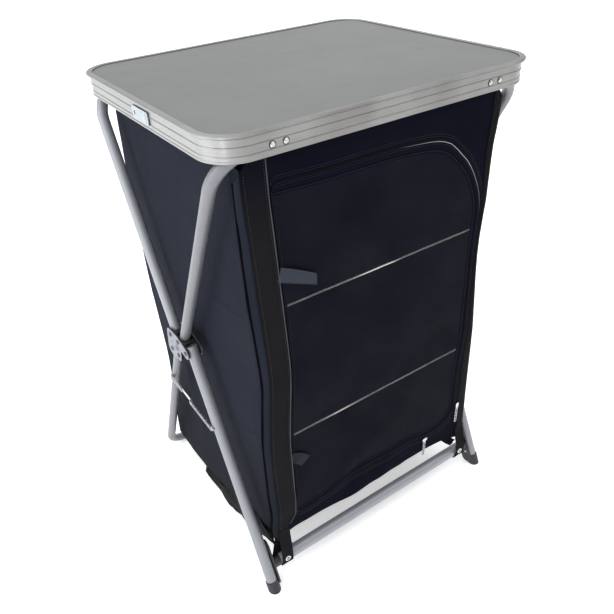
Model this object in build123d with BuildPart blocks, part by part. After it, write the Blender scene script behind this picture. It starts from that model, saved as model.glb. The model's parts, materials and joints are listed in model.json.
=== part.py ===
from build123d import *
import os
from math import acos, atan2, cos, degrees, hypot, pi, sin, tan

os.makedirs("parts", exist_ok=True)

# Folding camp table with a hanging fabric cabinet, in millimetres.
# X runs to the right, Y to the back, Z up. The origin is on the ground under the middle.

# Table top
table_width = 600.0
table_depth = 503.0
table_height = 935.0
rim_height = 38.0
rim_overhang = 5.5
rim_wall = 1.6
rim_bead_width = 10.2
rim_bead_height = 4.5
rim_lip_thickness = 2.4
rim_ledge_width = 9.0
rim_ledge_thickness = 1.5
rim_hem = 2.4
rim_hem_height = 5.0
rim_ridge_height = 0.9
rim_ridge_drops = (17.0, 29.0)
corner_radius = 60.0
board_thickness = 6.0
board_gap = 0.2
board_step = 1.0
board_step_gap = 0.6

# Tubes
leg_x = table_width / 2 - 14.0
upper_tube = 20.0
front_leg_tube = 22.0
rear_leg_tube = 19.0
crossbar_tube = 25.0
tube_wall = 1.2
upper_bend = 62.0
rear_bend = 45.0
front_bar_inset = 25.2
rear_bar_inset = 22.8
upper_bar_drop = 28.0
front_bar_y = table_depth / 2 - front_bar_inset
rear_bar_y = table_depth / 2 - rear_bar_inset
upper_bar_z = table_height - upper_bar_drop
front_foot_y = 250.0
rear_foot_y = 245.0
tube_tail = 10.0

# Hub pivots, as (y, z)
upper_rear_pivot = (35.0, 484.0)
upper_front_pivot = (2.0, 485.0)
lower_front_pivot = (-29.0, 477.0)
lower_rear_pivot = (38.0, 449.0)
hub_pin = (10.0, 449.0)
hub_ring = (10.0, 467.0)
ring_outer = 7.0
ring_inner = 5.2
ring_rise = 0.6

# Hub plates, core and rivets
upper_lobe = 13.5
front_lobe = 12.0
rear_lobe = 16.5
pin_lobe = 12.0
plate_thickness = 1.5
core_wall = 2.1
core_inset = 1.2
rivet_radius = 3.0
rivet_head_radius = 4.8
rivet_head_height = 1.6
fixed_clearance = 0.05
running_clearance = 0.08
clearance = 0.4

# Clips under the table top
clip_inset = 85.0
clip_spacing = 2 * (leg_x - clip_inset)
clip_width = 34.0
clip_wall = 2.4
clip_clearance = 0.15
hook_jaw = 2.5
hook_clearance = 0.3
rim_rivet_spacing = 21.0
rim_rivet_radius = 2.4
rim_rivet_head = 4.2
rim_rivet_drop = 23.0

# Splice plate over the joint in the rim
splice_length = 58.0
splice_height = 20.0
splice_thickness = 1.5
splice_y = -16.0

# Front crossbar, feet and elbows
crossbar_z = 45.5
crossbar_set_back = 3.5
crossbar_inset = 30.0
crossbar_end = leg_x - crossbar_inset
foot_radius = 13.0
foot_height = 20.0
gusset_thickness = 4.0
gusset_width = 26.0
gusset_top = 96.0
gusset_rivet_heights = (84.0, 30.0)
spigot_length = 22.0

# Folding stays
stay_front_z = 336.0
stay_rear_z = 343.0
stay_height = 9.0
stay_sheet = 1.2
stay_flange = 2.4
stay_gap = 0.3
stay_flat_end = 38.0
stay_rivet_radius = 2.2
stay_rivet_head = 3.2
bracket_height = 34.0
bracket_width = 10.6

# Cabinet cloth, hung from the two upper bars
cloth = 1.5
cloth_gap = 0.3
cabinet_front_y = front_bar_y + 1.7
cabinet_rear_y = rear_bar_y - 4.7
cabinet_front_gap = 38.0
cabinet_rear_gap = 30.0
cabinet_front_half = leg_x - cabinet_front_gap
cabinet_rear_half = leg_x - cabinet_rear_gap
cabinet_bottom = 116.0
cabinet_middle_bottom = 64.0
cabinet_rear_bottom = 50.0
side_drop = 35.0
side_top = upper_bar_z - side_drop
side_folds = 4
side_fold_top = 1.5
side_fold_bottom = 6.0
rear_folds = 3
rear_corner_notch = 24.0
front_corner_cut = 12.0
shelf_heights = (("lower", 362.0), ("upper", 640.0))
shelf_thickness = 4.0
shelf_rod = 3.2
left_webbing_width = 40.0
right_webbing_width = 18.0
webbing_thickness = 1.6
tail_width = 25.0
tail_bottom = 24.0
tail_front_y = 240.0
eyelet_inset = 5.0
eyelet_x = cabinet_front_half - eyelet_inset
eyelet_z = 54.0
eyelet_radius = 7.0
hem_wall = 1.2
hem_gap = 2.0
hem_length = clip_spacing - clip_width - 2 * hem_gap

# Door in the cabinet's front, as seen from the front
door_left = 45.0 - cabinet_front_half
door_right = cabinet_front_half - 30.0
door_bottom = cabinet_bottom + 44.0
door_top_left = upper_bar_z - 53.0
door_top_right = upper_bar_z - 81.0
door_small_radius = 12.0
door_top_radius = 112.0
door_bottom_radius = 62.0
door_gap = 1.0
door_border = 13.0
door_piping = 3.0
mesh_pitch_x = 30.0
mesh_pitch_z = 40.0
mesh_strand = 3.0
zip_width = 6.0
zip_thickness = 0.6
tie_length = 64.0
tie_width = 25.0
tie_inset = 2.0
tie_places = ((712.0, -38.0), (314.0, -56.0))

# Zip sliders and pulls
slider_length = 13.0
slider_width = 8.0
slider_depth = 4.0
slider_gap = 0.3
side_slider_z = 206.0
bottom_slider_x = 130.0
pull_length = 46.0
pull_width = 7.0
pull_sheet = 1.6
pull_pin = 1.0
pull_fork = 1.6
pull_slots = 4
pull_slot_start = 9.5
pull_slot_pitch = 9.0
pull_slot_length = 6.5
pull_slot_width = 3.2
ear_radius = 1.9
ear_drop = 2.6

rim_width = table_width - 2 * rim_overhang
rim_depth = table_depth - 2 * rim_overhang
rim_radius = corner_radius - rim_overhang
rim_bottom = table_height - rim_height
board_top = table_height - rim_lip_thickness
board_bottom = board_top - board_thickness
ledge_bottom = board_bottom - board_gap - rim_ledge_thickness
sides = (("left", -1), ("right", 1))


def leg_plane(pivot, far_end):
    """A plane through both hub pivots, its Y running along the leg."""
    along = Vector(0, far_end[0] - pivot[0], far_end[1] - pivot[1]).normalized()
    return Plane((0, pivot[0], pivot[1]), x_dir=(1, 0, 0), z_dir=Vector(1, 0, 0).cross(along))


def distance(first, second):
    return hypot(second[0] - first[0], second[1] - first[1])


def along_leg(pivot, far_end, height):
    """The (y, z) point of a leg's axis at a height."""
    share = (pivot[1] - height) / (pivot[1] - far_end[1])
    return (pivot[0] + share * (far_end[0] - pivot[0]), height)


def rounded_hull(lobes):
    """The outline that a belt makes round circles given in turn as ((x, y), radius)."""
    with BuildSketch(mode=Mode.PRIVATE) as outline:
        for (first, first_radius), (second, second_radius) in zip(lobes, lobes[1:] + lobes[:1]):
            heading = atan2(second[1] - first[1], second[0] - first[0])
            spread = acos((first_radius - second_radius) / distance(first, second))
            corners = [
                (centre[0] + radius * cos(heading + turn), centre[1] + radius * sin(heading + turn))
                for centre, radius, turn in (
                    (first, first_radius, spread), (second, second_radius, spread),
                    (second, second_radius, -spread), (first, first_radius, -spread),
                )
            ]
            Polygon(*corners, align=None)
            with Locations(first):
                Circle(first_radius)
        if len(lobes) > 2:
            Polygon(*[centre for centre, radius in lobes], align=None)
    return outline.sketch


def across(start, end, points, radius):
    """Round pins along X through each (y, z) point, for adding or cutting."""
    with BuildPart(mode=Mode.PRIVATE) as pins:
        with BuildSketch(Plane.YZ.offset(start)):
            with Locations(*points):
                Circle(radius)
        extrude(amount=end - start)
    return pins.part


def save(builder, name):
    builder.part.label = name
    export_step(builder.part, f"parts/{name}.step")


# Rim: one extrusion bent round the board
with BuildPart() as rim_extrusion:
    with BuildLine(Plane.XY.offset(table_height)) as rim_path:
        FilletPolyline(
            (0, -rim_depth / 2),
            (-rim_width / 2, -rim_depth / 2),
            (-rim_width / 2, rim_depth / 2),
            (0, rim_depth / 2),
            radius=rim_radius,
        )
    rim_section_plane = Plane((0, -rim_depth / 2, table_height), x_dir=(0, -1, 0), z_dir=(-1, 0, 0))
    with BuildSketch(rim_section_plane) as rim_section:
        with BuildLine():
            Polyline(
                (rim_overhang - rim_bead_width, 0),
                (rim_overhang - 1, 0),
                (rim_overhang, -1),
                (rim_overhang, 1 - rim_bead_height),
                (rim_overhang - 1, -rim_bead_height),
                (0, -rim_bead_height - 2),
                (0, -rim_height + 4),
                (rim_ridge_height, -rim_height + 3),
                (rim_ridge_height, -rim_height + 0.6),
                (rim_ridge_height - 0.6, -rim_height),
                (-rim_hem, -rim_height),
                (-rim_hem, -rim_height + rim_hem_height),
                (-rim_wall, -rim_height + rim_hem_height),
                (-rim_wall, ledge_bottom - table_height),
                (-rim_ledge_width, ledge_bottom - table_height),
                (-rim_ledge_width, ledge_bottom + rim_ledge_thickness - table_height),
                (-rim_wall, ledge_bottom + rim_ledge_thickness - table_height),
                (-rim_wall, -rim_lip_thickness),
                (rim_overhang - rim_bead_width, -rim_lip_thickness),
                close=True,
            )
        make_face()
        for drop in rim_ridge_drops:
            with Locations((0, -drop)):
                Circle(rim_ridge_height)
    sweep(path=rim_path.line)
    mirror(about=Plane.YZ)
    clip_rows = [
        (side * clip_spacing / 2 + step * rim_rivet_spacing / 2, table_height - rim_rivet_drop)
        for side in (-1, 1)
        for step in (-1, 1)
    ]
    with BuildSketch(Plane.XZ):
        with Locations(*clip_rows):
            Circle(rim_rivet_radius + fixed_clearance)
    extrude(amount=table_depth, both=True, mode=Mode.SUBTRACT)
save(rim_extrusion, "rim_extrusion")

# Laminated board, its edge stepped down under the bead's lip and resting on the ledge
with BuildPart() as table_board:
    with BuildSketch(Plane.XY.offset(board_bottom)):
        RectangleRounded(
            rim_width - 2 * (rim_wall + board_gap),
            rim_depth - 2 * (rim_wall + board_gap),
            rim_radius - rim_wall - board_gap,
        )
    extrude(amount=board_thickness - board_gap)
    lip_reach = rim_bead_width - rim_overhang + board_step_gap
    with BuildSketch(Plane.XY.offset(board_top - board_gap)):
        RectangleRounded(rim_width - 2 * lip_reach, rim_depth - 2 * lip_reach, rim_radius - lip_reach)
    extrude(amount=board_step)
save(table_board, "table_board")

# Splice plate over the joint in the middle of the left rim
splice_x = -rim_width / 2 - rim_ridge_height
splice_z = (rim_bottom + 3 + table_height - rim_bead_height - 2) / 2
with BuildPart() as rim_splice_plate:
    with BuildSketch(Plane.YZ.offset(splice_x - splice_thickness)):
        with Locations((splice_y, splice_z)):
            RectangleRounded(splice_length, splice_height, 2.5)
    extrude(amount=splice_thickness)
    with BuildSketch(Plane.YZ.offset(splice_x - splice_thickness - 1)):
        with Locations((splice_y + splice_length / 2 - 9, splice_z)):
            SlotOverall(7, 3.4, rotation=90)
        with Locations((splice_y - splice_length / 2 + 7, splice_z)):
            Rectangle(1.2, splice_height - 5)
    extrude(amount=splice_thickness + 2, mode=Mode.SUBTRACT)
save(rim_splice_plate, "rim_splice_plate")

# Domed rivets that hold the clips to the front and rear rim
for face, facing in (("front", -1), ("rear", 1)):
    with BuildPart() as rim_rivets:
        for x, z in clip_rows:
            wall = facing * rim_depth / 2
            with BuildSketch(Plane((x, wall, z), x_dir=(1, 0, 0), z_dir=(0, -facing, 0))):
                Circle(rim_rivet_radius)
            extrude(amount=rim_wall + 2.8)
            with BuildSketch(Plane((x, wall, z), x_dir=(1, 0, 0), z_dir=(0, facing, 0))):
                Circle(rim_rivet_head)
            extrude(amount=1.0)
            with BuildSketch(Plane((x, wall + facing, z), x_dir=(1, 0, 0), z_dir=(0, facing, 0))):
                Circle(rim_rivet_head)
            extrude(amount=1.2, taper=50)
    save(rim_rivets, f"{face}_rim_rivets")

# Front clips: closed saddles in which the front bar turns
upper_radius = upper_tube / 2
clip_face = rim_depth / 2 - rim_wall
clip_outer = upper_radius + clip_clearance + clip_wall
clip_base = rim_bottom + rim_hem_height + 0.3
clip_top = upper_bar_z + clip_outer - 0.8
for side, sign in sides:
    with BuildPart() as front_clip:
        with BuildSketch(Plane.YZ.offset(sign * clip_spacing / 2 - clip_width / 2)):
            with Locations((-front_bar_y, upper_bar_z)):
                Circle(clip_outer)
            with Locations((-(clip_face + front_bar_y) / 2, clip_base)):
                Rectangle(clip_face - front_bar_y, clip_top - clip_base, align=(Align.CENTER, Align.MIN))
            with Locations((-front_bar_y, upper_bar_z)):
                Circle(upper_radius + clip_clearance, mode=Mode.SUBTRACT)
        extrude(amount=clip_width)
        with BuildSketch(Plane.XZ.offset(clip_face)):
            with Locations(*[row for row in clip_rows if row[0] * sign > 0]):
                Circle(rim_rivet_radius + fixed_clearance)
        extrude(amount=-3.2, mode=Mode.SUBTRACT)
    save(front_clip, f"front_clip_{side}")

# Rear clips: hooks open to the front, out of which the rear bar slides
for side, sign in sides:
    with BuildPart() as rear_hook:
        hook_outer = upper_radius + hook_clearance + hook_jaw
        with BuildSketch(Plane.YZ.offset(sign * clip_spacing / 2 - clip_width / 2)):
            with Locations((rear_bar_y, upper_bar_z)):
                Circle(hook_outer)
            with Locations(((clip_face + rear_bar_y) / 2, clip_base)):
                Rectangle(clip_face - rear_bar_y, clip_top - clip_base, align=(Align.CENTER, Align.MIN))
            with Locations((rear_bar_y, upper_bar_z)):
                Circle(upper_radius + hook_clearance, mode=Mode.SUBTRACT)
            with Locations((rear_bar_y - hook_outer, upper_bar_z)):
                Rectangle(2 * hook_outer, 4 * hook_outer, mode=Mode.SUBTRACT)
        extrude(amount=clip_width)
        with BuildSketch(Plane.XZ.offset(-clip_face)):
            with Locations(*[row for row in clip_rows if row[0] * sign > 0]):
                Circle(rim_rivet_radius + fixed_clearance)
        extrude(amount=3.2, mode=Mode.SUBTRACT)
    save(rear_hook, f"rear_hook_{side}")


def bent_tube(plane, pivot, length, diameter, bend):
    """A tube with two bends: a leg at each side and a crossbar between them."""
    with BuildPart() as tube:
        with BuildLine(plane) as route:
            FilletPolyline(
                (-leg_x, -tube_tail), (-leg_x, length), (leg_x, length), (leg_x, -tube_tail), radius=bend
            )
        with BuildSketch(Plane(route.line @ 0, x_dir=(1, 0, 0), z_dir=route.line % 0)):
            Circle(diameter / 2)
            Circle(diameter / 2 - tube_wall, mode=Mode.SUBTRACT)
        sweep(path=route.line)
        add(across(-leg_x - diameter, leg_x + diameter, [pivot], rivet_radius + running_clearance),
            mode=Mode.SUBTRACT)
    return tube


# Upper frames, each a leg, a crossbar and a leg in one bent tube
for name, pivot, bar_y in (
    ("upper_front_frame", upper_front_pivot, -front_bar_y),
    ("upper_rear_frame", upper_rear_pivot, rear_bar_y),
):
    bar = (bar_y, upper_bar_z)
    save(bent_tube(leg_plane(pivot, bar), pivot, distance(pivot, bar), upper_tube, upper_bend), name)

# Lower rear frame: its crossbar rests on the ground
rear_foot = (rear_foot_y, rear_leg_tube / 2)
rear_stay_end = along_leg(lower_rear_pivot, rear_foot, stay_rear_z)
lower_rear_frame = bent_tube(
    leg_plane(lower_rear_pivot, rear_foot),
    lower_rear_pivot,
    distance(lower_rear_pivot, rear_foot),
    rear_leg_tube,
    rear_bend,
)
with BuildPart() as drilled_rear_frame:
    add(lower_rear_frame.part)
    add(across(-leg_x - rear_leg_tube, leg_x + rear_leg_tube, [rear_stay_end],
               stay_rivet_radius + fixed_clearance), mode=Mode.SUBTRACT)
save(drilled_rear_frame, "lower_rear_frame")

# Front legs: straight tubes
front_foot = (-front_foot_y, 0.0)
front_plane = leg_plane(lower_front_pivot, front_foot)
front_length = distance(lower_front_pivot, front_foot)
front_stay_end = along_leg(lower_front_pivot, front_foot, stay_front_z)
gusset_rivets = [along_leg(lower_front_pivot, front_foot, height) for height in gusset_rivet_heights]
front_tilt = atan2(front_foot_y + lower_front_pivot[0], lower_front_pivot[1])
sole_thickness = 5.0
leg_end = front_length - sole_thickness - foot_radius * tan(front_tilt)
for side, sign in sides:
    with BuildPart() as front_leg:
        x = sign * leg_x
        start = Plane(front_plane.from_local_coords((x, -tube_tail, 0)), z_dir=front_plane.y_dir)
        with BuildSketch(start):
            Circle(front_leg_tube / 2)
            Circle(front_leg_tube / 2 - tube_wall, mode=Mode.SUBTRACT)
        extrude(amount=leg_end + tube_tail)
        across_start = x - front_leg_tube
        across_end = x + front_leg_tube
        add(across(across_start, across_end, [lower_front_pivot], rivet_radius + running_clearance),
            mode=Mode.SUBTRACT)
        add(across(across_start, across_end, [front_stay_end, *gusset_rivets],
                   stay_rivet_radius + fixed_clearance), mode=Mode.SUBTRACT)
    save(front_leg, f"front_leg_{side}")

# Front crossbar near the ground
crossbar = (along_leg(lower_front_pivot, front_foot, crossbar_z)[0] + crossbar_set_back, crossbar_z)
with BuildPart() as front_crossbar:
    with BuildSketch(Plane.YZ.offset(-crossbar_end)):
        with Locations(crossbar):
            Circle(crossbar_tube / 2)
            Circle(crossbar_tube / 2 - tube_wall, mode=Mode.SUBTRACT)
    extrude(amount=2 * crossbar_end)
save(front_crossbar, "front_crossbar")

# Foot mouldings: a foot cup, a gusset up the inside of the leg and a spigot for the crossbar
inner_face = leg_x - front_leg_tube / 2
for side, sign in sides:
    with BuildPart() as foot_moulding:
        foot_end = Plane(
            front_plane.from_local_coords((sign * leg_x, front_length + foot_radius, 0)),
            z_dir=-front_plane.y_dir,
        )
        with BuildSketch(foot_end):
            Circle(foot_radius)
        extrude(amount=foot_height + foot_radius)
        with BuildSketch(Plane.YZ.offset(sign * inner_face)):
            add(rounded_hull([
                ((along_leg(lower_front_pivot, front_foot, height)[0] + crossbar_set_back, height),
                 gusset_width / 2)
                for height in (gusset_top - gusset_width / 2, foot_radius + 2)
            ]))
        extrude(amount=-sign * gusset_thickness)
        with BuildSketch(Plane.YZ.offset(sign * inner_face)):
            with Locations(crossbar):
                Circle(crossbar_tube / 2)
        extrude(amount=-sign * (inner_face - crossbar_end))
        with BuildSketch(Plane.YZ.offset(sign * crossbar_end)):
            with Locations(crossbar):
                Circle(crossbar_tube / 2 - tube_wall - fixed_clearance)
        extrude(amount=-sign * spigot_length)
        leg_axis = Plane(front_plane.from_local_coords((sign * leg_x, 0, 0)), z_dir=front_plane.y_dir)
        with BuildSketch(leg_axis):
            Circle(front_leg_tube / 2 + fixed_clearance)
        extrude(amount=leg_end, mode=Mode.SUBTRACT)
        with BuildSketch(Plane.XY):
            with Locations((sign * leg_x, -front_foot_y)):
                Rectangle(8 * foot_radius, 8 * foot_radius)
        extrude(amount=-4 * foot_radius, mode=Mode.SUBTRACT)
        add(across(sign * inner_face - 2 * gusset_thickness, sign * inner_face + 2 * gusset_thickness,
                   gusset_rivets, stay_rivet_radius + fixed_clearance), mode=Mode.SUBTRACT)
    save(foot_moulding, f"foot_moulding_{side}")


def through_rivet(points, radius, head_radius, low, high, dome=rivet_head_height):
    """Rivets along X with a domed head at each end."""
    with BuildPart(mode=Mode.PRIVATE) as rivets:
        for y, z in points:
            with BuildSketch(Plane((low, y, z), x_dir=(0, 1, 0), z_dir=(1, 0, 0))):
                Circle(radius)
            extrude(amount=high - low)
            for end, facing in ((low, -1), (high, 1)):
                with BuildSketch(Plane((end, y, z), x_dir=(0, 1, 0), z_dir=(facing, 0, 0))):
                    Circle(head_radius)
                extrude(amount=dome, taper=30)
    return rivets


# Rivets that hold the gussets to the front legs
for side, sign in sides:
    ends = sorted((sign * (leg_x + front_leg_tube / 2), sign * (inner_face - gusset_thickness)))
    save(through_rivet(gusset_rivets, stay_rivet_radius, stay_rivet_head, *ends, 1.2),
         f"gusset_rivets_{side}")

# Hub plates, one each side of the core
core_half = max(upper_tube, front_leg_tube, rear_leg_tube) / 2 + clearance + core_wall


def hub_outline(inset):
    """The plate's lobes: one belt round the rear pivots and the pin, and one round the front pivots."""
    belts = (
        [(upper_front_pivot, upper_lobe), (upper_rear_pivot, upper_lobe),
         (lower_rear_pivot, rear_lobe), (hub_pin, pin_lobe)],
        [(upper_front_pivot, upper_lobe), (lower_front_pivot, front_lobe)],
    )
    with BuildSketch(mode=Mode.PRIVATE) as outline:
        for belt in belts:
            add(rounded_hull([(centre, radius - inset) for centre, radius in belt]))
    return outline.sketch


hub_pivots = [upper_rear_pivot, upper_front_pivot, lower_front_pivot, lower_rear_pivot]
for side, sign in sides:
    for place, start, outward in (("outer", leg_x + core_half, 1), ("inner", leg_x - core_half, -1)):
        with BuildPart() as hub_plate:
            with BuildSketch(Plane.YZ.offset(sign * start)):
                add(hub_outline(0))
            extrude(amount=sign * outward * plate_thickness)
            with BuildSketch(Plane.YZ.offset(sign * (start + outward * plate_thickness))):
                with Locations(hub_ring):
                    Circle(ring_outer)
                    Circle(ring_inner, mode=Mode.SUBTRACT)
            extrude(amount=sign * outward * ring_rise)
            add(across(sign * leg_x - 2 * core_half, sign * leg_x + 2 * core_half,
                       [*hub_pivots, hub_pin], rivet_radius + fixed_clearance), mode=Mode.SUBTRACT)
        save(hub_plate, f"hub_{place}_plate_{side}")

# Hub core: a moulding with a pocket for each tube's swing
swings = (
    (upper_rear_pivot, (rear_bar_y, upper_bar_z), upper_tube),
    (upper_front_pivot, (-front_bar_y, upper_bar_z), upper_tube),
    (lower_front_pivot, front_foot, front_leg_tube),
    (lower_rear_pivot, rear_foot, rear_leg_tube),
)
pocket_reach = 110.0
for side, sign in sides:
    with BuildPart() as hub_core:
        with BuildSketch(Plane.YZ.offset(sign * leg_x)):
            add(hub_outline(core_inset))
        extrude(amount=core_half, both=True)
        for pivot, far_end, diameter in swings:
            open_turn = degrees(atan2(far_end[0] - pivot[0], far_end[1] - pivot[1]))
            closed_turn = 0.0 if far_end[1] > pivot[1] else 180.0
            if closed_turn and open_turn < 0:
                closed_turn = -180.0
            pocket_width = diameter + 2 * clearance
            with BuildSketch(Plane.YZ.offset(sign * leg_x)):
                with Locations(pivot):
                    Circle(hypot(diameter / 2, tube_tail) + clearance)
                for share in (0, 0.5, 1):
                    turn = closed_turn + share * (open_turn - closed_turn)
                    with Locations(Location((pivot[0], pivot[1], 0), (0, 0, -turn))):
                        Rectangle(pocket_width, pocket_reach, align=(Align.CENTER, Align.MIN))
            extrude(amount=diameter / 2 + clearance, both=True, mode=Mode.SUBTRACT)
        add(across(sign * leg_x - 2 * core_half, sign * leg_x + 2 * core_half,
                   [*hub_pivots, hub_pin], rivet_radius + fixed_clearance), mode=Mode.SUBTRACT)
    save(hub_core, f"hub_core_{side}")

for side, sign in sides:
    reach = core_half + plate_thickness
    save(through_rivet([*hub_pivots, hub_pin], rivet_radius, rivet_head_radius,
                       sign * leg_x - reach, sign * leg_x + reach), f"hub_rivets_{side}")

# Folding stays: two links a side, riveted to the legs and meeting at a knee
rear_link_x = leg_x + front_leg_tube / 2 + stay_gap
front_link_x = rear_link_x + stay_sheet + stay_gap
stay_tilt = atan2(rear_stay_end[1] - front_stay_end[1], rear_stay_end[0] - front_stay_end[0])
link_length = distance(front_stay_end, rear_stay_end) / 2
stay_hole = stay_rivet_radius + running_clearance


def stay_link(sign, start_x, pivot, turn, flanged_length, knee_hole):
    """A sheet link from its pivot to the knee, with flanges along part of it."""
    plane = Plane((sign * start_x, pivot[0], pivot[1]), x_dir=(0, cos(turn), sin(turn)), z_dir=(1, 0, 0))
    with BuildPart() as link:
        with BuildSketch(plane):
            with Locations((link_length / 2, 0)):
                SlotCenterToCenter(link_length, stay_height)
            Circle(stay_hole, mode=Mode.SUBTRACT)
            with Locations((link_length, 0)):
                Circle(knee_hole, mode=Mode.SUBTRACT)
        extrude(amount=sign * stay_sheet)
        with BuildSketch(plane.offset(sign * stay_sheet)):
            for edge in (-1, 1):
                with Locations((flanged_length / 2, edge * (stay_height - stay_sheet) / 2)):
                    Rectangle(flanged_length, stay_sheet)
        extrude(amount=sign * stay_flange)
    return link, plane


knee_shank = stay_rivet_radius
for side, sign in sides:
    front_link, front_link_plane = stay_link(
        sign, front_link_x, front_stay_end, stay_tilt, link_length, knee_shank
    )
    with BuildPart() as front_link_with_rivet:
        add(front_link.part)
        with BuildSketch(front_link_plane):
            with Locations((link_length, 0)):
                Circle(knee_shank)
        extrude(amount=sign * stay_sheet)
        with BuildSketch(front_link_plane.offset(sign * stay_sheet)):
            with Locations((link_length, 0)):
                Circle(stay_rivet_head - 0.4)
        extrude(amount=sign * 1.4, taper=30)
    save(front_link_with_rivet, f"stay_front_link_{side}")
    rear_link, rear_link_plane = stay_link(
        sign, rear_link_x, rear_stay_end, stay_tilt + pi, link_length - stay_flat_end, 1.2
    )
    save(rear_link, f"stay_rear_link_{side}")

# Stay rivets on the legs, with a collar that spaces the front link from its leg
for side, sign in sides:
    low = sign * (leg_x - front_leg_tube / 2)
    high = sign * (front_link_x + stay_sheet + running_clearance)
    with BuildPart() as front_stay_rivet:
        add(through_rivet([front_stay_end], stay_rivet_radius, stay_rivet_head - 0.4,
                          *sorted((low, high)), 1.2).part)
        with BuildSketch(Plane.YZ.offset(sign * (leg_x + front_leg_tube / 2))):
            with Locations(front_stay_end):
                Circle(stay_height / 2 - 0.3)
                Circle(stay_rivet_radius, mode=Mode.SUBTRACT)
        extrude(amount=sign * (stay_sheet + 2 * stay_gap - running_clearance))
    save(front_stay_rivet, f"stay_front_rivet_{side}")
    low = sign * (leg_x - rear_leg_tube / 2)
    high = sign * (rear_link_x + stay_sheet + running_clearance)
    save(through_rivet([rear_stay_end], stay_rivet_radius, stay_rivet_head - 0.4,
                       *sorted((low, high)), 1.2), f"stay_rear_rivet_{side}")

# Small brackets on the rear legs behind the stays
bracket_start = leg_x + rear_leg_tube / 2
for side, sign in sides:
    with BuildPart() as stay_bracket:
        low_point = along_leg(lower_rear_pivot, rear_foot, stay_rear_z - bracket_height / 2)
        with BuildSketch(Plane.YZ.offset(sign * bracket_start)):
            add(rounded_hull([(rear_stay_end, bracket_width / 2), (low_point, bracket_width / 2)]))
            with Locations(rear_stay_end):
                Circle(stay_rivet_radius + fixed_clearance, mode=Mode.SUBTRACT)
        extrude(amount=sign * (rear_link_x - stay_gap - bracket_start))
        with BuildSketch(Plane.YZ.offset(sign * (rear_link_x - stay_gap))):
            with Locations(low_point):
                Circle(2.4)
        extrude(amount=sign * 1.2, taper=30)
    save(stay_bracket, f"stay_bracket_{side}")


def fold_wall(corners, folds, rise, level):
    """A thin wall's outline at one level: arcs that bulge outward between straight seams."""
    first, second = Vector(*corners[0]), Vector(*corners[1])
    step = (second - first) / folds
    outward = Vector(step.Y, -step.X).normalized()
    with BuildSketch(Plane.XY.offset(level), mode=Mode.PRIVATE) as outline:
        with BuildLine():
            for number in range(folds):
                start = first + step * number
                middle = start + step / 2 + outward * rise
                ThreePointArc(start, middle, start + step)
                ThreePointArc(start - outward * cloth, middle - outward * cloth,
                              start + step - outward * cloth)
            Line(first, first - outward * cloth)
            Line(second, second - outward * cloth)
        make_face()
    return outline.sketch


# The floor's line seen from the side: it hangs down towards the back
front_face = -cabinet_front_y
panel_top = upper_bar_z - clip_outer - cloth_gap
side_back = cabinet_rear_y - cloth - cloth_gap
floor_front = (front_face + cloth_gap, cabinet_bottom)
floor_middle = ((front_face + side_back) / 2, cabinet_middle_bottom)
floor_rear = (side_back, cabinet_rear_bottom)

# Side panels and rear panel: cloth walls with folds that deepen towards the floor
cloth_walls = (
    ("left_panel", (-cabinet_rear_half, side_back), (-cabinet_front_half, front_face + cloth_gap), side_top),
    ("right_panel", (cabinet_front_half, front_face + cloth_gap), (cabinet_rear_half, side_back), side_top),
    ("rear_panel", (cabinet_rear_half, cabinet_rear_y), (-cabinet_rear_half, cabinet_rear_y), panel_top),
)
for name, first, second, top in cloth_walls:
    folds = rear_folds if name == "rear_panel" else side_folds
    with BuildPart() as cloth_wall:
        add(fold_wall((first, second), folds, side_fold_bottom, cabinet_rear_bottom))
        add(fold_wall((first, second), folds, side_fold_top, top))
        loft(ruled=True)
        if name == "rear_panel":
            with BuildSketch(Plane.XZ.offset(-2 * cabinet_rear_y)):
                for sign in (-1, 1):
                    with Locations((sign * cabinet_rear_half, panel_top)):
                        Rectangle(2 * rear_corner_notch, 2 * rear_corner_notch)
            extrude(amount=2 * cabinet_rear_y, mode=Mode.SUBTRACT)
        else:
            with BuildSketch(Plane.YZ):
                with BuildLine():
                    ThreePointArc(floor_front, floor_middle, floor_rear)
                    Line(floor_front, (2 * front_face, cabinet_bottom))
                    Line((2 * front_face, cabinet_bottom), (2 * front_face, 0))
                    Line((2 * front_face, 0), (side_back, 0))
                    Line((side_back, 0), floor_rear)
                make_face()
            extrude(amount=table_width, both=True, mode=Mode.SUBTRACT)
    save(cloth_wall, name)


def door_outline(grow):
    """The door's D shape, grown by a width all round."""
    with BuildSketch(mode=Mode.PRIVATE) as outline:
        with BuildLine():
            FilletPolyline(
                (door_left - grow, door_bottom - grow),
                (door_right + grow, door_bottom - grow),
                (door_right + grow, door_top_right + grow),
                (door_left - grow, door_top_left + grow),
                close=True,
                radius=[round(max(radius + grow, 0), 3) for radius in (
                    door_small_radius, door_bottom_radius, door_top_radius, door_small_radius
                )],
            )
        make_face()
    return outline.sketch


# Front panel with the doorway cut out
with BuildPart() as front_panel:
    with BuildSketch(Plane.XZ.offset(cabinet_front_y)) as panel_outline:
        with Locations((0, (panel_top + cabinet_bottom) / 2)):
            Rectangle(2 * cabinet_front_half, panel_top - cabinet_bottom)
        chamfer(panel_outline.vertices().group_by(Axis.Y)[-1], length=front_corner_cut)
        add(door_outline(door_gap), mode=Mode.SUBTRACT)
    extrude(amount=cloth)
save(front_panel, "front_panel")

# Zip tape round the doorway
panel_face = cabinet_front_y + cloth
with BuildPart() as zipper_tape:
    with BuildSketch(Plane.XZ.offset(panel_face)):
        add(door_outline(door_gap + zip_width))
        add(door_outline(door_gap), mode=Mode.SUBTRACT)
        with Locations((door_left - zip_width, (door_top_left + door_bottom) / 2)):
            Rectangle(2 * zip_width, 2 * door_top_left, mode=Mode.SUBTRACT)
    extrude(amount=zip_thickness)
save(zipper_tape, "zipper_tape")

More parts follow.
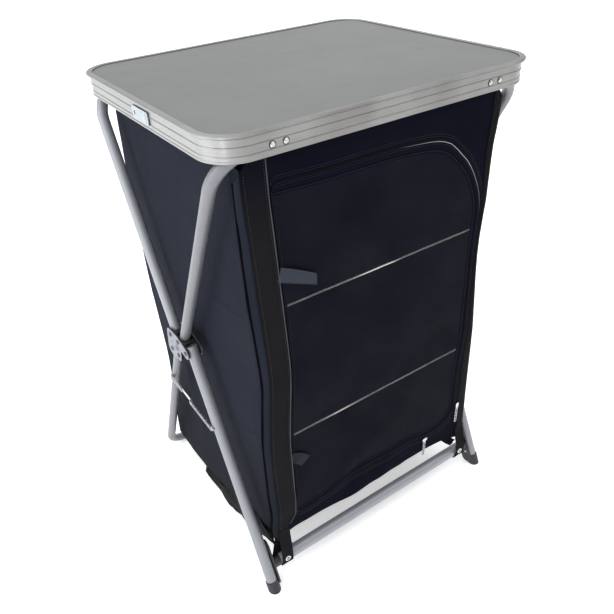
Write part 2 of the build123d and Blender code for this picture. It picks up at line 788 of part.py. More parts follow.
# Mesh door: a cloth border with piping round one sheet of net
with BuildPart() as mesh_door:
    with BuildSketch(Plane.XZ.offset(cabinet_front_y)):
        add(door_outline(0))
        with BuildSketch(mode=Mode.SUBTRACT):
            with Locations(((door_left + door_right) / 2, (door_bottom + door_top_left) / 2)):
                with GridLocations(mesh_pitch_x, mesh_pitch_z,
                                   int((door_right - door_left) / mesh_pitch_x) + 1,
                                   int((door_top_left - door_bottom) / mesh_pitch_z) + 1):
                    Rectangle(mesh_pitch_x - mesh_strand, mesh_pitch_z - mesh_strand)
            add(door_outline(-door_border), mode=Mode.INTERSECT)
    extrude(amount=cloth)
    with BuildSketch(Plane.XZ.offset(panel_face)):
        add(door_outline(door_piping / 3 + door_piping - door_border))
        add(door_outline(door_piping / 3 - door_border), mode=Mode.SUBTRACT)
    extrude(amount=zip_thickness)
save(mesh_door, "mesh_door")

# Tie loops on the door's hinge side, which hold the rolled-up door
with BuildPart() as tie_loops:
    for height, slope in tie_places:
        with BuildSketch(Plane.XZ.offset(panel_face + zip_thickness)):
            middle = door_left + tie_inset + tie_length / 2
            with Locations(Location((middle, height, 0), (0, 0, slope))):
                RectangleRounded(tie_length, tie_width, 2)
        extrude(amount=cloth)
save(tie_loops, "tie_loops")

# Webbing down both edges of the front panel
for (side, sign), width in zip(sides, (left_webbing_width, right_webbing_width)):
    with BuildPart() as webbing:
        with BuildSketch(Plane.XZ.offset(panel_face)) as strip:
            middle = sign * (cabinet_front_half - 1 - width / 2)
            with Locations((middle, (panel_top + cabinet_bottom) / 2)):
                Rectangle(width, panel_top - cabinet_bottom)
            top_corners = strip.vertices().group_by(Axis.Y)[-1].sort_by(Axis.X)
            chamfer(top_corners[0 if sign < 0 else -1], length=front_corner_cut)
        extrude(amount=webbing_thickness)
    save(webbing, f"webbing_{side}")

# Strap tails from the webbing down to the front crossbar, pierced for the studs
tail_top = cabinet_bottom
with BuildPart() as strap_tails:
    for side, sign in sides:
        with BuildSketch(Plane.YZ.offset(sign * eyelet_x - tail_width / 2)):
            with BuildLine():
                Polyline(
                    (-panel_face, tail_top - cloth_gap),
                    (-tail_front_y + webbing_thickness, crossbar_z + crossbar_tube),
                    (-tail_front_y + webbing_thickness, tail_bottom),
                    (-tail_front_y, tail_bottom),
                    (-tail_front_y, crossbar_z + crossbar_tube),
                    (-panel_face - webbing_thickness, tail_top - cloth_gap),
                    close=True,
                )
            make_face()
        extrude(amount=tail_width)
        with BuildSketch(Plane.XZ.offset(tail_front_y - 2 * webbing_thickness)):
            with Locations((sign * eyelet_x, eyelet_z)):
                Circle(eyelet_radius - 2.6)
        extrude(amount=3 * webbing_thickness, mode=Mode.SUBTRACT)
save(strap_tails, "strap_tails")

# Studs on the crossbar, each with a chrome eyelet in front of the strap
with BuildPart() as strap_studs:
    for side, sign in sides:
        with BuildSketch(Plane.XZ.offset(-crossbar[0])):
            with Locations((sign * eyelet_x, eyelet_z)):
                Circle(eyelet_radius - 3.0)
        extrude(amount=tail_front_y + crossbar[0] + cloth_gap)
        with BuildSketch(Plane.XZ.offset(tail_front_y + cloth_gap)):
            with Locations((sign * eyelet_x, eyelet_z)):
                Circle(eyelet_radius)
        extrude(amount=1.4, taper=30)
        with BuildSketch(Plane.YZ.offset(sign * eyelet_x - eyelet_radius)):
            with Locations(crossbar):
                Circle(crossbar_tube / 2)
        extrude(amount=2 * eyelet_radius, mode=Mode.SUBTRACT)
save(strap_studs, "strap_studs")

# Floor: a sheet that sags between the front and rear panels
with BuildPart() as floor_panel:
    with BuildSketch(Plane.YZ.offset(-cabinet_front_half + cloth + cloth_gap)):
        with BuildLine():
            ThreePointArc(floor_front, floor_middle, floor_rear)
            ThreePointArc(*[(y, z + cloth) for y, z in (floor_front, floor_middle, floor_rear)])
            for y, z in (floor_front, floor_rear):
                Line((y, z), (y, z + cloth))
        make_face()
    extrude(amount=2 * (cabinet_front_half - cloth - cloth_gap))
save(floor_panel, "floor_panel")


def shelf_half(y):
    """Half a shelf's width where its edge meets the side walls' seams."""
    share = (y + cabinet_front_y) / (cabinet_rear_y + cabinet_front_y)
    half = cabinet_front_half + share * (cabinet_rear_half - cabinet_front_half)
    return half - cloth - cloth_gap


# Shelves: stiffened sheets between the walls, with a rod in each long edge
shelf_front = -cabinet_front_y + cloth_gap + shelf_rod
shelf_back = cabinet_rear_y - cloth - cloth_gap - shelf_rod
for place, height in shelf_heights:
    with BuildPart() as shelf:
        with BuildSketch(Plane.XY.offset(height - shelf_thickness)):
            with BuildLine():
                Polyline(
                    (-shelf_half(shelf_front), shelf_front),
                    (shelf_half(shelf_front), shelf_front),
                    (shelf_half(shelf_back), shelf_back),
                    (-shelf_half(shelf_back), shelf_back),
                    close=True,
                )
            make_face()
        extrude(amount=shelf_thickness)
    save(shelf, f"shelf_{place}")
with BuildPart() as shelf_rods:
    for place, height in shelf_heights:
        for y in (shelf_front - shelf_rod / 2, shelf_back + shelf_rod / 2):
            with BuildSketch(Plane.YZ.offset(-shelf_half(y))):
                with Locations((y, height - shelf_thickness / 2)):
                    Circle(shelf_rod / 2)
            extrude(amount=2 * shelf_half(y))
save(shelf_rods, "shelf_rods")

# Hem sleeves, in which the two upper bars carry the cabinet
for name, pivot, bar_y in (
    ("front_hem", upper_front_pivot, -front_bar_y),
    ("rear_hem", upper_rear_pivot, rear_bar_y),
):
    with BuildPart() as hem:
        with BuildSketch(Plane.YZ.offset(-hem_length / 2)):
            with Locations((bar_y, upper_bar_z)):
                Circle(upper_radius + clip_clearance + hem_wall)
                Circle(upper_radius + clip_clearance, mode=Mode.SUBTRACT)
        extrude(amount=hem_length)
    save(hem, name)

# Zip sliders, on the tape beside the door, each with an ear for its pull
slider_face = panel_face + zip_thickness + slider_gap
side_slider_x = door_right + door_gap + slider_width / 2
bottom_slider_z = door_bottom - door_gap - slider_width / 2
slider_places = (
    ("side", (side_slider_x, side_slider_z), 0.0, (side_slider_x, side_slider_z - slider_length / 2)),
    ("bottom", (bottom_slider_x, bottom_slider_z), 90.0,
     (bottom_slider_x, bottom_slider_z - slider_width / 2)),
)
for name, place, turn, ear in slider_places:
    with BuildPart() as zip_slider:
        with BuildSketch(Plane.XZ.offset(slider_face)):
            with Locations(Location((place[0], place[1], 0), (0, 0, turn))):
                RectangleRounded(slider_width, slider_length, 2.4)
        extrude(amount=slider_depth)
        fillet(zip_slider.faces().sort_by(Axis.Y)[0].edges(), 0.8)
        with BuildSketch(Plane.YZ.offset(ear[0] - pull_width / 2 + 1.6)):
            centre = (-slider_face - slider_depth / 2, ear[1] - ear_drop)
            add(rounded_hull([(centre, ear_radius), ((centre[0], ear[1] + 1.2), ear_radius)]))
            with Locations(centre):
                Circle(pull_pin + running_clearance, mode=Mode.SUBTRACT)
        extrude(amount=pull_width - 3.2)
    save(zip_slider, f"zip_slider_{name}")

    with BuildPart() as zip_pull:
        with BuildSketch(Plane.XZ.offset(slider_face + slider_depth / 2 - pull_sheet / 2)):
            with Locations((ear[0], centre[1] - pull_length / 2 + pull_width / 2)):
                SlotOverall(pull_length, pull_width, rotation=90)
            with Locations((ear[0], centre[1] - ear_radius - 0.5)):
                Rectangle(pull_width - 2.4, pull_width, align=(Align.CENTER, Align.MIN), mode=Mode.SUBTRACT)
            with Locations((ear[0], centre[1] + pull_fork)):
                Rectangle(pull_width, pull_width, align=(Align.CENTER, Align.MIN), mode=Mode.SUBTRACT)
            drops = [pull_slot_start + number * pull_slot_pitch for number in range(pull_slots)]
            with Locations(*[(ear[0], centre[1] - drop) for drop in drops]):
                SlotOverall(pull_slot_length, pull_slot_width, rotation=90, mode=Mode.SUBTRACT)
        extrude(amount=pull_sheet)
        with BuildSketch(Plane.YZ.offset(ear[0] - pull_width / 2 + 0.8)):
            with Locations(centre):
                Circle(pull_pin)
        extrude(amount=pull_width - 1.6)
    save(zip_pull, f"zip_pull_{name}")
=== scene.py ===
import json
import math
from functools import cached_property

import bpy
import numpy as np
from mathutils import Matrix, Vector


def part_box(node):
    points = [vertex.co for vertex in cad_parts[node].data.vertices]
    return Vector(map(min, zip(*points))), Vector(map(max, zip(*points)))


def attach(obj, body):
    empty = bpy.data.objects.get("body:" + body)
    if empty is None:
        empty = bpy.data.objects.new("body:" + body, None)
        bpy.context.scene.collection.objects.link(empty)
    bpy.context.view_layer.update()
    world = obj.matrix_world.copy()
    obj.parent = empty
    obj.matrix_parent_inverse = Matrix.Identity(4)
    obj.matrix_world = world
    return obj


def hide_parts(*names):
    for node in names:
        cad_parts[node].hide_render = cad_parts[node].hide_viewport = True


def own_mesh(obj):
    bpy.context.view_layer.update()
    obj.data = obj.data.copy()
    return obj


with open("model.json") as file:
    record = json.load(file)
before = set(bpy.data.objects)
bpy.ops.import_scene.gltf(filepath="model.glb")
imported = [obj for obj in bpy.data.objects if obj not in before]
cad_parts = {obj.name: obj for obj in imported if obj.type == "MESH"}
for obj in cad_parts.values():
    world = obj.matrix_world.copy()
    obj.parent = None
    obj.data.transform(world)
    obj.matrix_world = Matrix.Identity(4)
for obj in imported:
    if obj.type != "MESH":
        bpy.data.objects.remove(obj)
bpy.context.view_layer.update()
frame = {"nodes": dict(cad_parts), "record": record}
nodes = frame["nodes"]

# Shapes are worked out in millimetres, as in the CAD, and stored in metres.
MM = 0.001

# Cabinet: the front cloth's depth, edges and heights, the ends of the side walls, and where the top
# corners start to slant
FRONT, REAR = -228.0, 222.0
LEFT_EDGE, RIGHT_EDGE = -246.5, 248.5
CLOTH_BOTTOM, CLOTH_TOP = 116.0, 894.0
WALL_FRONT, WALL_REAR, WALL_TOP = -226.5, 225.8, 882.0
CORNER_START = 236.0

# Doorway: corners as (x, z, radius), the steps in each bend and straight run, and the net's pitch and strands
DOOR_BOTTOM = 160.0
DOOR_CORNERS = ((-203, DOOR_BOTTOM, 12), (218, DOOR_BOTTOM, 62), (218, 826, 160), (-203, 854, 12))
BEND_STEPS = 14
RUN_STEPS = (60, 84, 50, 112)
NET_PITCH, NET_STRAND = 1.4, 0.46

# Shelves: their levels, how far their front edges are raised, and where their rods end at the front right
SHELVES = (("lower", 362.0), ("upper", 640.0))
FRONT_LIFT = 6.5
ROD_RADIUS, ROD_DROP = 1.55, 2.0
ROD_ENDS = (238.0, 224.0)

# The straps' width, the crossbar's middle as (y, z), and the height of the two upper bars
STRAP_WIDTH = 25.0
CROSSBAR_MIDDLE = (-225.4, 45.5)
BAR_HEIGHT = 907.0


def smoothstep(low, high, value):
    share = np.clip((value - low) / (high - low), 0, 1)
    return share * share * (3 - 2 * share)


def window(value, rise, full, fall, gone):
    """One between full and fall, and nothing outside rise and gone."""
    return smoothstep(rise, full, value) * (1 - smoothstep(fall, gone, value))


def curve(points, blur):
    """A smooth function of one number through points, rounded off over a distance."""
    places, values = np.array(points, float).T
    dense = np.linspace(places[0], places[-1], 400)
    step = dense[1] - dense[0]
    reach = np.arange(-int(3 * blur / step), int(3 * blur / step) + 1)
    kernel = np.exp(-0.5 * (reach * step / blur) ** 2)
    padded = np.pad(np.interp(dense, places, values), len(reach) // 2, mode="edge")
    rounded = np.convolve(padded, kernel / kernel.sum(), mode="valid")
    return lambda place: np.interp(place, dense, rounded)


def waves(a, b, seed, low=60, high=240, count=9):
    """Gentle unevenness over two coordinates, about 1 high."""
    random = np.random.default_rng(seed)
    total = 0
    for number in range(count):
        turn, phase = random.uniform(0, math.tau, 2)
        length = random.uniform(low, high)
        swell = np.sin((a * np.cos(turn) + b * np.sin(turn)) * math.tau / length + phase)
        total = total + swell * length / high
    return total / math.sqrt(count)


def crease(a, b, start, end, width):
    """A ridge from start to end that fades out at both ends."""
    along = np.subtract(end, start).astype(float)
    share = np.clip(((a - start[0]) * along[0] + (b - start[1]) * along[1]) / (along @ along), 0, 1)
    away = np.hypot(a - start[0] - share * along[0], b - start[1] - share * along[1])
    return np.exp(-((away / width) ** 2)) * (4 * share * (1 - share)) ** 0.5


# Meshes
def piece(name, points, faces, finish, body, slot, smooth=True):
    mesh = bpy.data.meshes.new(name)
    mesh.from_pydata([tuple(point) for point in np.asarray(points) * MM], [], faces)
    mesh.validate()
    mesh.polygons.foreach_set("use_smooth", [smooth] * len(mesh.polygons))
    mesh.materials.append(finish.material)
    obj = bpy.data.objects.new(name, mesh)
    bpy.context.scene.collection.objects.link(obj)
    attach(obj, body)
    return obj


def grids(rows, columns):
    """The values of both directions at every point of a grid."""
    return np.meshgrid(rows, columns, indexing="ij")


def grid_faces(rows, columns, start=0, flip=False, closed=False):
    faces = []
    for row in range(rows if closed else rows - 1):
        for column in range(columns - 1):
            a = start + row * columns + column
            b = start + (row + 1) % rows * columns + column
            face = (a, b, b + 1, a + 1)
            faces.append(face[::-1] if flip else face)
    return faces


def solid(outer, inner, closed=False):
    """Points and faces of a sheet between two grids of points, with its edges closed."""
    rows, columns = outer.shape[:2]
    size = rows * columns
    faces = grid_faces(rows, columns, closed=closed)
    faces += grid_faces(rows, columns, size, flip=True, closed=closed)
    for column, flip in ((0, True), (columns - 1, False)):
        for row in range(rows if closed else rows - 1):
            a, b = row * columns + column, (row + 1) % rows * columns + column
            face = (a, a + size, b + size, b)
            faces.append(face[::-1] if flip else face)
    if not closed:
        for row, flip in ((0, False), (rows - 1, True)):
            for column in range(columns - 1):
                a = row * columns + column
                face = (a, a + size, a + 1 + size, a + 1)
                faces.append(face[::-1] if flip else face)
    return np.concatenate([outer.reshape(-1, 3), inner.reshape(-1, 3)]), faces


def thick(surface, thickness):
    """A sheet with its two faces on both sides of a surface."""
    normal = np.cross(np.gradient(surface, axis=0), np.gradient(surface, axis=1))
    normal /= np.maximum(np.linalg.norm(normal, axis=2, keepdims=True), 1e-9)
    return solid(surface + normal * thickness / 2, surface - normal * thickness / 2)


def directions(path, closed=False):
    """The unit direction of a path at each of its points."""
    if closed:
        along = np.roll(path, -1, axis=0) - np.roll(path, 1, axis=0)
    else:
        along = np.gradient(path, axis=0)
    return along / np.linalg.norm(along, axis=1, keepdims=True)


def circle(sides):
    return np.linspace(0, math.tau, sides, endpoint=False)


def tube_mesh(path, radius, sides=8, closed=False):
    """Points and faces of a tube along a path; radius may differ from point to point."""
    path = np.asarray(path, float)
    along = directions(path, closed)
    hint = np.array((0.0, 1.0, 0.0)) if abs(along[:, 1]).mean() < 0.8 else np.array((0.0, 0.0, 1.0))
    side = np.cross(along, hint)
    side /= np.linalg.norm(side, axis=1, keepdims=True)
    up = np.cross(side, along)
    radius = np.broadcast_to(radius, len(path))[:, None, None]
    turn = circle(sides)
    ring = side[:, None] * np.cos(turn)[None, :, None] + up[:, None] * np.sin(turn)[None, :, None]
    points = (path[:, None] + radius * ring).reshape(-1, 3)
    faces = []
    for row in range(len(path) if closed else len(path) - 1):
        for number in range(sides):
            a, b = row * sides, (row + 1) % len(path) * sides
            faces.append((a + number, a + (number + 1) % sides, b + (number + 1) % sides, b + number))
    if not closed:
        faces.append(tuple(range(sides))[::-1])
        faces.append(tuple(range((len(path) - 1) * sides, len(path) * sides)))
    return points, faces


def joined(parts):
    points, faces, start = [], [], 0
    for part_points, part_faces in parts:
        points.append(part_points)
        faces += [tuple(number + start for number in face) for face in part_faces]
        start += len(part_points)
    return np.concatenate(points), faces


def resample(path, pitch=None, count=None, closed=False):
    """Points at even distances along a path: so far apart, or so many."""
    path = np.asarray(path, float)
    if closed:
        path = np.concatenate([path, path[:1]])
    far = np.concatenate([[0], np.cumsum(np.linalg.norm(np.diff(path, axis=0), axis=1))])
    places = np.linspace(0, far[-1], count or max(int(far[-1] / pitch), 2) + 1)
    if closed:
        places = places[:-1]
    return np.stack([np.interp(places, far, column) for column in path.T], axis=1)


def stitches(path, closed=False, pitch=4.4, length=2.9, radius=0.42):
    """Short threads in a row along a path, raised toward the front."""
    marks = resample(path, pitch, closed=closed)
    out = np.array((0.0, -1.0, 0.0))
    parts = []
    for mark, way in zip(marks, directions(marks)):
        across = np.cross(way, out)
        corners = [mark - way * length / 2, mark + way * length / 2]
        corners += [mark + across * radius, mark + out * radius * 1.5]
        corners += [mark - across * radius, mark - out * radius]
        faces = [(0, 2 + number, 2 + (number + 1) % 4) for number in range(4)]
        faces += [(1, 2 + (number + 1) % 4, 2 + number) for number in range(4)]
        parts.append((np.array(corners), faces))
    return joined(parts)


# How far the cabinet's edges hang out of line: sideways by height, or up and down by place across
left_pull = curve(
    [(50, -4), (130, -3), (218, -2), (370, -4), (514, 9), (650, 2), (777, -4), (851, -8), (895, -8)], 30)
right_pull = curve(
    [(50, 6), (120, 4), (195, 2), (291, -1), (402, -3), (482, -10), (560, -17), (610, -19), (650, -17),
     (695, -13), (804, -14), (834, -7), (890, -7)], 20)
hem_line = curve(
    [(-262, 2), (-215, 4), (-174, 6), (-85, -3), (33, 3), (144, 2), (190, -4), (238, -22), (262, -26)], 12)
seam_line = curve(
    [(-262, -4), (-203, -6), (-177, -10), (-119, 3), (-59, 15), (31, 11), (82, 16), (112, 5), (130, 0),
     (150, -1), (190, -3), (231, -10), (262, -12)], 11)
top_line = curve(
    [(-262, -5), (-203, -5), (-153, -3.7), (-84, -0.5), (-17, 2.4), (20, 4.5), (60, 3), (80, 2.5), (100, 4),
     (129, 6), (142, 6), (165, -3), (185, 0), (262, 0)], 8)

# How far out the side walls hang at the back, by height
rear_edge = curve(
    [(40, 262), (67, 262), (160, 256), (269, 251), (420, 255), (575, 260), (720, 257), (844, 253),
     (895, 251)], 35)

# The floor's height, by place from front to back
floor_curve = np.polyfit((FRONT, -2.75, 222.2), (115.0, 64.0, 50.0), 2)

# The storage strap's middle height and half width, from front to back
strap_middle = curve([(-222, 98), (-156, 82), (-76, 58), (5, 37), (52, 30), (90, 28)], 8)
strap_half = curve([(-222, 14), (-156, 30), (-76, 39), (5, 30), (52, 23), (90, 14)], 8)


def floor_line(y):
    return np.polyval(floor_curve, y)


def front(x, z, y):
    """The hanging place of a point of the front cloth: pulled in at its edges, wavy at its lower seam."""
    x, z = np.asarray(x, float), np.asarray(z, float)
    left = 1 - smoothstep(-190, -90, x)
    right = np.clip((x - 150) / 98, 0, 1.1) ** 2
    loose = 9 * window(x, 175, 215, 219, 246) * window(z, 300, 430, 660, 790)
    new_x = x + left * left_pull(z) + right * right_pull(z) + loose
    share = np.clip((z - CLOTH_BOTTOM) / (DOOR_BOTTOM - CLOTH_BOTTOM), 0, 1)
    low = hem_line(x)
    new_z = z + (low + (seam_line(x) - low) * share) * (1 - smoothstep(165, 300, z))
    new_z = new_z + top_line(x) * window(z, 770, 822, 862, 888)
    slack = 1.8 * waves(x, z, 4, 90, 300) * window(x, -200, -150, 120, 195) * smoothstep(190, 260, z)
    ripple = 3.0 * waves(x, z, 9, 50, 150) * (1 - smoothstep(60, 105, x)) * (1 - smoothstep(170, 260, z))
    return np.stack([np.maximum(new_x, -263.0), y - slack - ripple, new_z], axis=-1)


def door_path(grow):
    """The door's outline as a closed row of (x, z), grown by a width all round."""
    grown = []
    for (x, z, radius), (sign_x, sign_z) in zip(DOOR_CORNERS, ((-1, -1), (1, -1), (1, 1), (-1, 1))):
        grown.append((np.array((x + sign_x * grow, z + sign_z * grow), float), max(radius + grow, 0.01)))
    bends = []
    for number, (corner, radius) in enumerate(grown):
        back = grown[number - 1][0] - corner
        ahead = grown[(number + 1) % 4][0] - corner
        back, ahead = back / np.linalg.norm(back), ahead / np.linalg.norm(ahead)
        half = math.acos(back @ ahead) / 2
        middle = (back + ahead) / np.linalg.norm(back + ahead)
        centre = corner + middle * radius / math.sin(half)
        first = corner + back * radius / math.tan(half) - centre
        turns = np.linspace(0, math.pi - 2 * half, BEND_STEPS + 1)
        spun = np.stack([first[0] * np.cos(turns) - first[1] * np.sin(turns),
                         first[0] * np.sin(turns) + first[1] * np.cos(turns)], axis=1)
        bends.append(centre + spun)
    path = []
    for number, bend in enumerate(bends):
        path.append(bend)
        following = bends[(number + 1) % 4][0]
        steps = np.linspace(0, 1, RUN_STEPS[number] + 2)[1:-1, None]
        path.append(bend[-1] + (following - bend[-1]) * steps)
    return np.concatenate(path)


def door_ring(grow):
    """The door's outline grown by a width, which narrows along the hinge."""
    base = door_path(0.0)
    wider = door_path(grow) - base
    wider[:, 0] *= 0.3 + 0.7 * smoothstep(-202, -165, base[:, 0])
    return base + wider


def door_line(grow, depth, parts=slice(None)):
    """The door's outline, or parts of it, where it hangs."""
    path = door_ring(grow)[parts]
    return front(path[:, 0], path[:, 1], depth)


def crossings(path, value, axis):
    """Where a line at one coordinate enters and leaves a closed path."""
    found = []
    for first, second in zip(path, np.roll(path, -1, axis=0)):
        if (first[axis] - value) * (second[axis] - value) < 0:
            share = (value - first[axis]) / (second[axis] - first[axis])
            found.append(first[1 - axis] + share * (second[1 - axis] - first[1 - axis]))
    return min(found), max(found)


class Nodes:
    """The nodes of a material or a world."""

    def __init__(self, owner):
        owner.use_nodes = True
        self.tree = owner.node_tree

    def fill(self, made, socket, value):
        """A socket takes a link from another one, or a number or colour of its own."""
        if isinstance(value, bpy.types.NodeSocket):
            self.tree.links.new(value, made.inputs[socket])
        elif isinstance(value, (int, float)):
            made.inputs[socket].default_value = value
        else:
            made.inputs[socket].default_value = (*value, 1)

    def node(self, kind, values=(), **settings):
        made = self.tree.nodes.new(kind)
        for name, setting in settings.items():
            setattr(made, name, setting)
        for socket, value in values:
            self.fill(made, socket, value)
        return made

    def coordinate(self, vector, axis):
        return self.node("ShaderNodeSeparateXYZ", [("Vector", vector)]).outputs[axis]

    def ramp(self, source, *stops):
        """A colour that follows a source through (place, colour) stops; one number is a grey."""
        made = self.node("ShaderNodeValToRGB", [("Fac", source)])
        while len(made.color_ramp.elements) < len(stops):
            made.color_ramp.elements.new(0.5)
        for element, (at, color) in zip(made.color_ramp.elements, stops):
            element.position = at
            element.color = (*(color if isinstance(color, tuple) else (color,) * 3), 1)
        return made.outputs["Color"]

    def mix(self, share, first, second, mode="MIX"):
        """Two colours mixed; the sockets' numbers are those of the node's share and its two colours."""
        values = [(0, share), (6, first), (7, second)]
        return self.node("ShaderNodeMix", values, data_type="RGBA", blend_type=mode).outputs[2]

    def maths(self, kind, first, second):
        return self.node("ShaderNodeMath", [(0, first), (1, second)], operation=kind).outputs[0]


class Finish(Nodes):
    """A material in the object's own coordinates, in metres."""

    def __init__(self, name, color, roughness, metallic=0.0, **sockets):
        self.material = bpy.data.materials.new(name)
        super().__init__(self.material)
        self.shader = self.tree.nodes["Principled BSDF"]
        self.use("Base Color", color)
        self.use("Roughness", roughness)
        self.use("Metallic", metallic)
        for socket, value in sockets.items():
            self.use(socket.replace("_", " "), value)

    def use(self, socket, value):
        self.fill(self.shader, socket, value)

    @cached_property
    def vector(self):
        """The object's coordinates as they are."""
        return self.place((1, 1, 1))

    def place(self, scale):
        """The object's coordinates, stretched."""
        coordinates = self.node("ShaderNodeTexCoord").outputs["Object"]
        mapping = self.node("ShaderNodeMapping", [("Vector", coordinates)])
        mapping.inputs["Scale"].default_value = scale
        return mapping.outputs["Vector"]

    def noise(self, scale, detail=3.0, rough=0.6, at=None):
        vector = self.vector if at is None else at
        values = [("Vector", vector), ("Scale", scale), ("Detail", detail), ("Roughness", rough)]
        return self.node("ShaderNodeTexNoise", values).outputs["Fac"]

    def wave(self, scale, direction):
        values = [("Vector", self.vector), ("Scale", scale)]
        return self.node("ShaderNodeTexWave", values, bands_direction=direction).outputs["Fac"]

    def bumps(self, *layers):
        """Bump from (height, strength, distance) layers, the last on top."""
        normal = None
        for height, strength, distance in layers:
            values = [("Height", height), ("Strength", strength), ("Distance", distance)]
            made = self.node("ShaderNodeBump", values)
            if normal is not None:
                self.fill(made, "Normal", normal)
            normal = made.outputs["Normal"]
        self.use("Normal", normal)


def cloth_finish(name, dark, light, sheen, weave=300.0, wrinkle=0.35, specular=0.1, low=None):
    """Woven cloth between two tones; low is a third, darker tone, painted toward the ground as shade."""
    finish = Finish(name, dark, 0.78, Sheen_Weight=sheen, Sheen_Roughness=0.45, Sheen_Tint=(0.75, 0.8, 1.0),
                    Specular_IOR_Level=specular)
    patches = finish.ramp(finish.noise(7.0, 5.0, 0.62), (0.28, dark), (0.72, light))
    fibres = finish.ramp(finish.noise(900.0, 2.0, 0.5), (0.3, dark), (0.8, light))
    woven = finish.mix(0.22, patches, fibres)
    # Painted shade: the cloth darkens to the low tone toward the ground
    if low is not None:
        height = finish.coordinate(finish.vector, "Z")
        woven = finish.mix(finish.ramp(height, (0.14, 0.6), (0.42, 0.0)), woven, low)
    finish.use("Base Color", woven)
    threads = finish.maths("ADD", finish.wave(weave, "X"), finish.wave(weave, "Z"))
    threads = finish.maths("ADD", threads, finish.wave(weave, "Y"))
    finish.bumps((finish.noise(26.0, 5.0, 0.62), wrinkle, 0.006),
                 (finish.noise(120.0, 3.0, 0.6), 0.25, 0.0012), (threads, 0.35, 0.0003))
    return finish


def mottled(name, dark, light, grain, rough, metallic=0.0, **sockets):
    """A finish between two tones; rough is one value, or a noise and two stops for an uneven one."""
    uneven = isinstance(rough, tuple)
    finish = Finish(name, light, rough[1][1] if uneven else rough, metallic, **sockets)
    finish.tones = finish.mix(finish.noise(*grain), dark, light)
    finish.use("Base Color", finish.tones)
    if uneven:
        finish.use("Roughness", finish.ramp(finish.noise(*rough[0]), *rough[1:]))
    return finish


def metal(name, dark, light, least, most):
    finish = mottled(name, dark, light, (90.0, 5.0, 0.7), ((140.0, 4.0), (0.3, least), (0.7, most)), 1.0)
    finish.bumps((finish.noise(240.0, 3.0), 0.18, 0.0004))
    return finish


def paint(name, tone):
    """Silver paint with fine flakes; tone darkens it, for copies painted darker as shade."""
    def toned(*color):
        return tuple(tone * value for value in color)

    finish = Finish(name, toned(0.32, 0.33, 0.35), 0.38, 0.22, Coat_Weight=0.12, Coat_Roughness=0.3)
    flakes = finish.noise(1800.0, 2.0, 0.7)
    clouds = finish.ramp(finish.noise(9.0, 4.0, 0.6), (0.3, toned(0.272, 0.285, 0.320)),
                         (0.7, toned(0.325, 0.338, 0.370)))
    specks = finish.ramp(flakes, (0.35, 0.18 * tone), (0.7, 0.47 * tone))
    finish.use("Base Color", finish.mix(0.25, clouds, specks))
    finish.use("Roughness", finish.ramp(flakes, (0.3, 0.34), (0.7, 0.46)))
    finish.bumps((flakes, 0.10, 0.0002), (finish.noise(70.0, 3.0), 0.06, 0.001))
    return finish


# Cloths
# The dark cloth's low tone near the ground is painted shade
cloth = cloth_finish("dark_cloth", (0.0132, 0.0158, 0.0245), (0.0178, 0.0208, 0.0310), 0.005,
                     specular=0.03, wrinkle=0.22, low=(0.0100, 0.0108, 0.0130))
# Near-black cloth for the corner fold's bound edge: painted shadow of the crease
seam_shadow_cloth = cloth_finish("seam_shadow_cloth", (0.0012, 0.0013, 0.0025), (0.0022, 0.0023, 0.0038), 0.0,
                          specular=0.02, wrinkle=0.1)
# Front cloth and door border: the cabinet's cloth painted darker as shade on the front
shaded_front_finish = cloth_finish("front_cloth", (0.0022, 0.0027, 0.0075), (0.0040, 0.0045, 0.0105), 0.0,
                            specular=0.03, wrinkle=0.2)
inner_cloth = cloth_finish("inner_cloth", (0.007, 0.0075, 0.013), (0.011, 0.0115, 0.017), 0.01, wrinkle=0.2)
tie_cloth = cloth_finish("tie_cloth", (0.027, 0.031, 0.045), (0.040, 0.045, 0.062), 0.04, 220.0, 0.1)
tie_shade = cloth_finish("tie_shade", (0.010, 0.0115, 0.018), (0.015, 0.017, 0.025), 0.02, 220.0, 0.1)

# Webbing, with painted shade under the rim, where it darkens to the front cloth's tone
webbing = Finish("webbing", (0.010, 0.010, 0.012), 0.7, Specular_IOR_Level=0.04)
painted_rim_shade = webbing.ramp(webbing.coordinate(webbing.vector, "Z"), (0.79, 0.0), (0.88, 0.85))
ribbed = webbing.mix(webbing.noise(20.0, 4.0), (0.0065, 0.0063, 0.0078), (0.0115, 0.0112, 0.0132))
webbing.use("Base Color", webbing.mix(painted_rim_shade, ribbed, (0.0022, 0.0027, 0.0075)))
webbing.bumps((webbing.noise(45.0, 4.0), 0.3, 0.002), (webbing.wave(150.0, "Z"), 0.5, 0.0005),
              (webbing.wave(420.0, "X"), 0.3, 0.0003))

# Black strap
black_strap = mottled("black_strap", (0.0025, 0.0025, 0.0033), (0.0065, 0.0065, 0.0075), (30.0, 4.0), 0.6,
                      Specular_IOR_Level=0.05)
black_strap.bumps((black_strap.noise(60.0, 4.0), 0.4, 0.002), (black_strap.wave(170.0, "Z"), 0.5, 0.0005))

# The webbing's raised edge, painted lighter as a highlight
edge_highlight = mottled("webbing_edge_highlight", (0.026, 0.026, 0.030), (0.055, 0.055, 0.060), (50.0, 4.0), 0.55,
                 Sheen_Weight=0.03, Specular_IOR_Level=0.3)
edge_highlight.bumps((edge_highlight.wave(260.0, "Z"), 0.5, 0.0004))

# Sewing thread
thread = mottled("thread", (0.013, 0.014, 0.020), (0.032, 0.033, 0.042), (90.0,), 0.6, Sheen_Weight=0.1)

# Net
mesh_net = Finish("net", (0.010, 0.011, 0.018), 0.6, Specular_IOR_Level=0.08)
mesh_net.use("Base Color", mesh_net.mix(
    mesh_net.ramp(mesh_net.noise(9.0, 4.0), (0.35, 0.0), (0.65, 1.0)),
    (0.0045, 0.0055, 0.0135), (0.0125, 0.0135, 0.0225)))

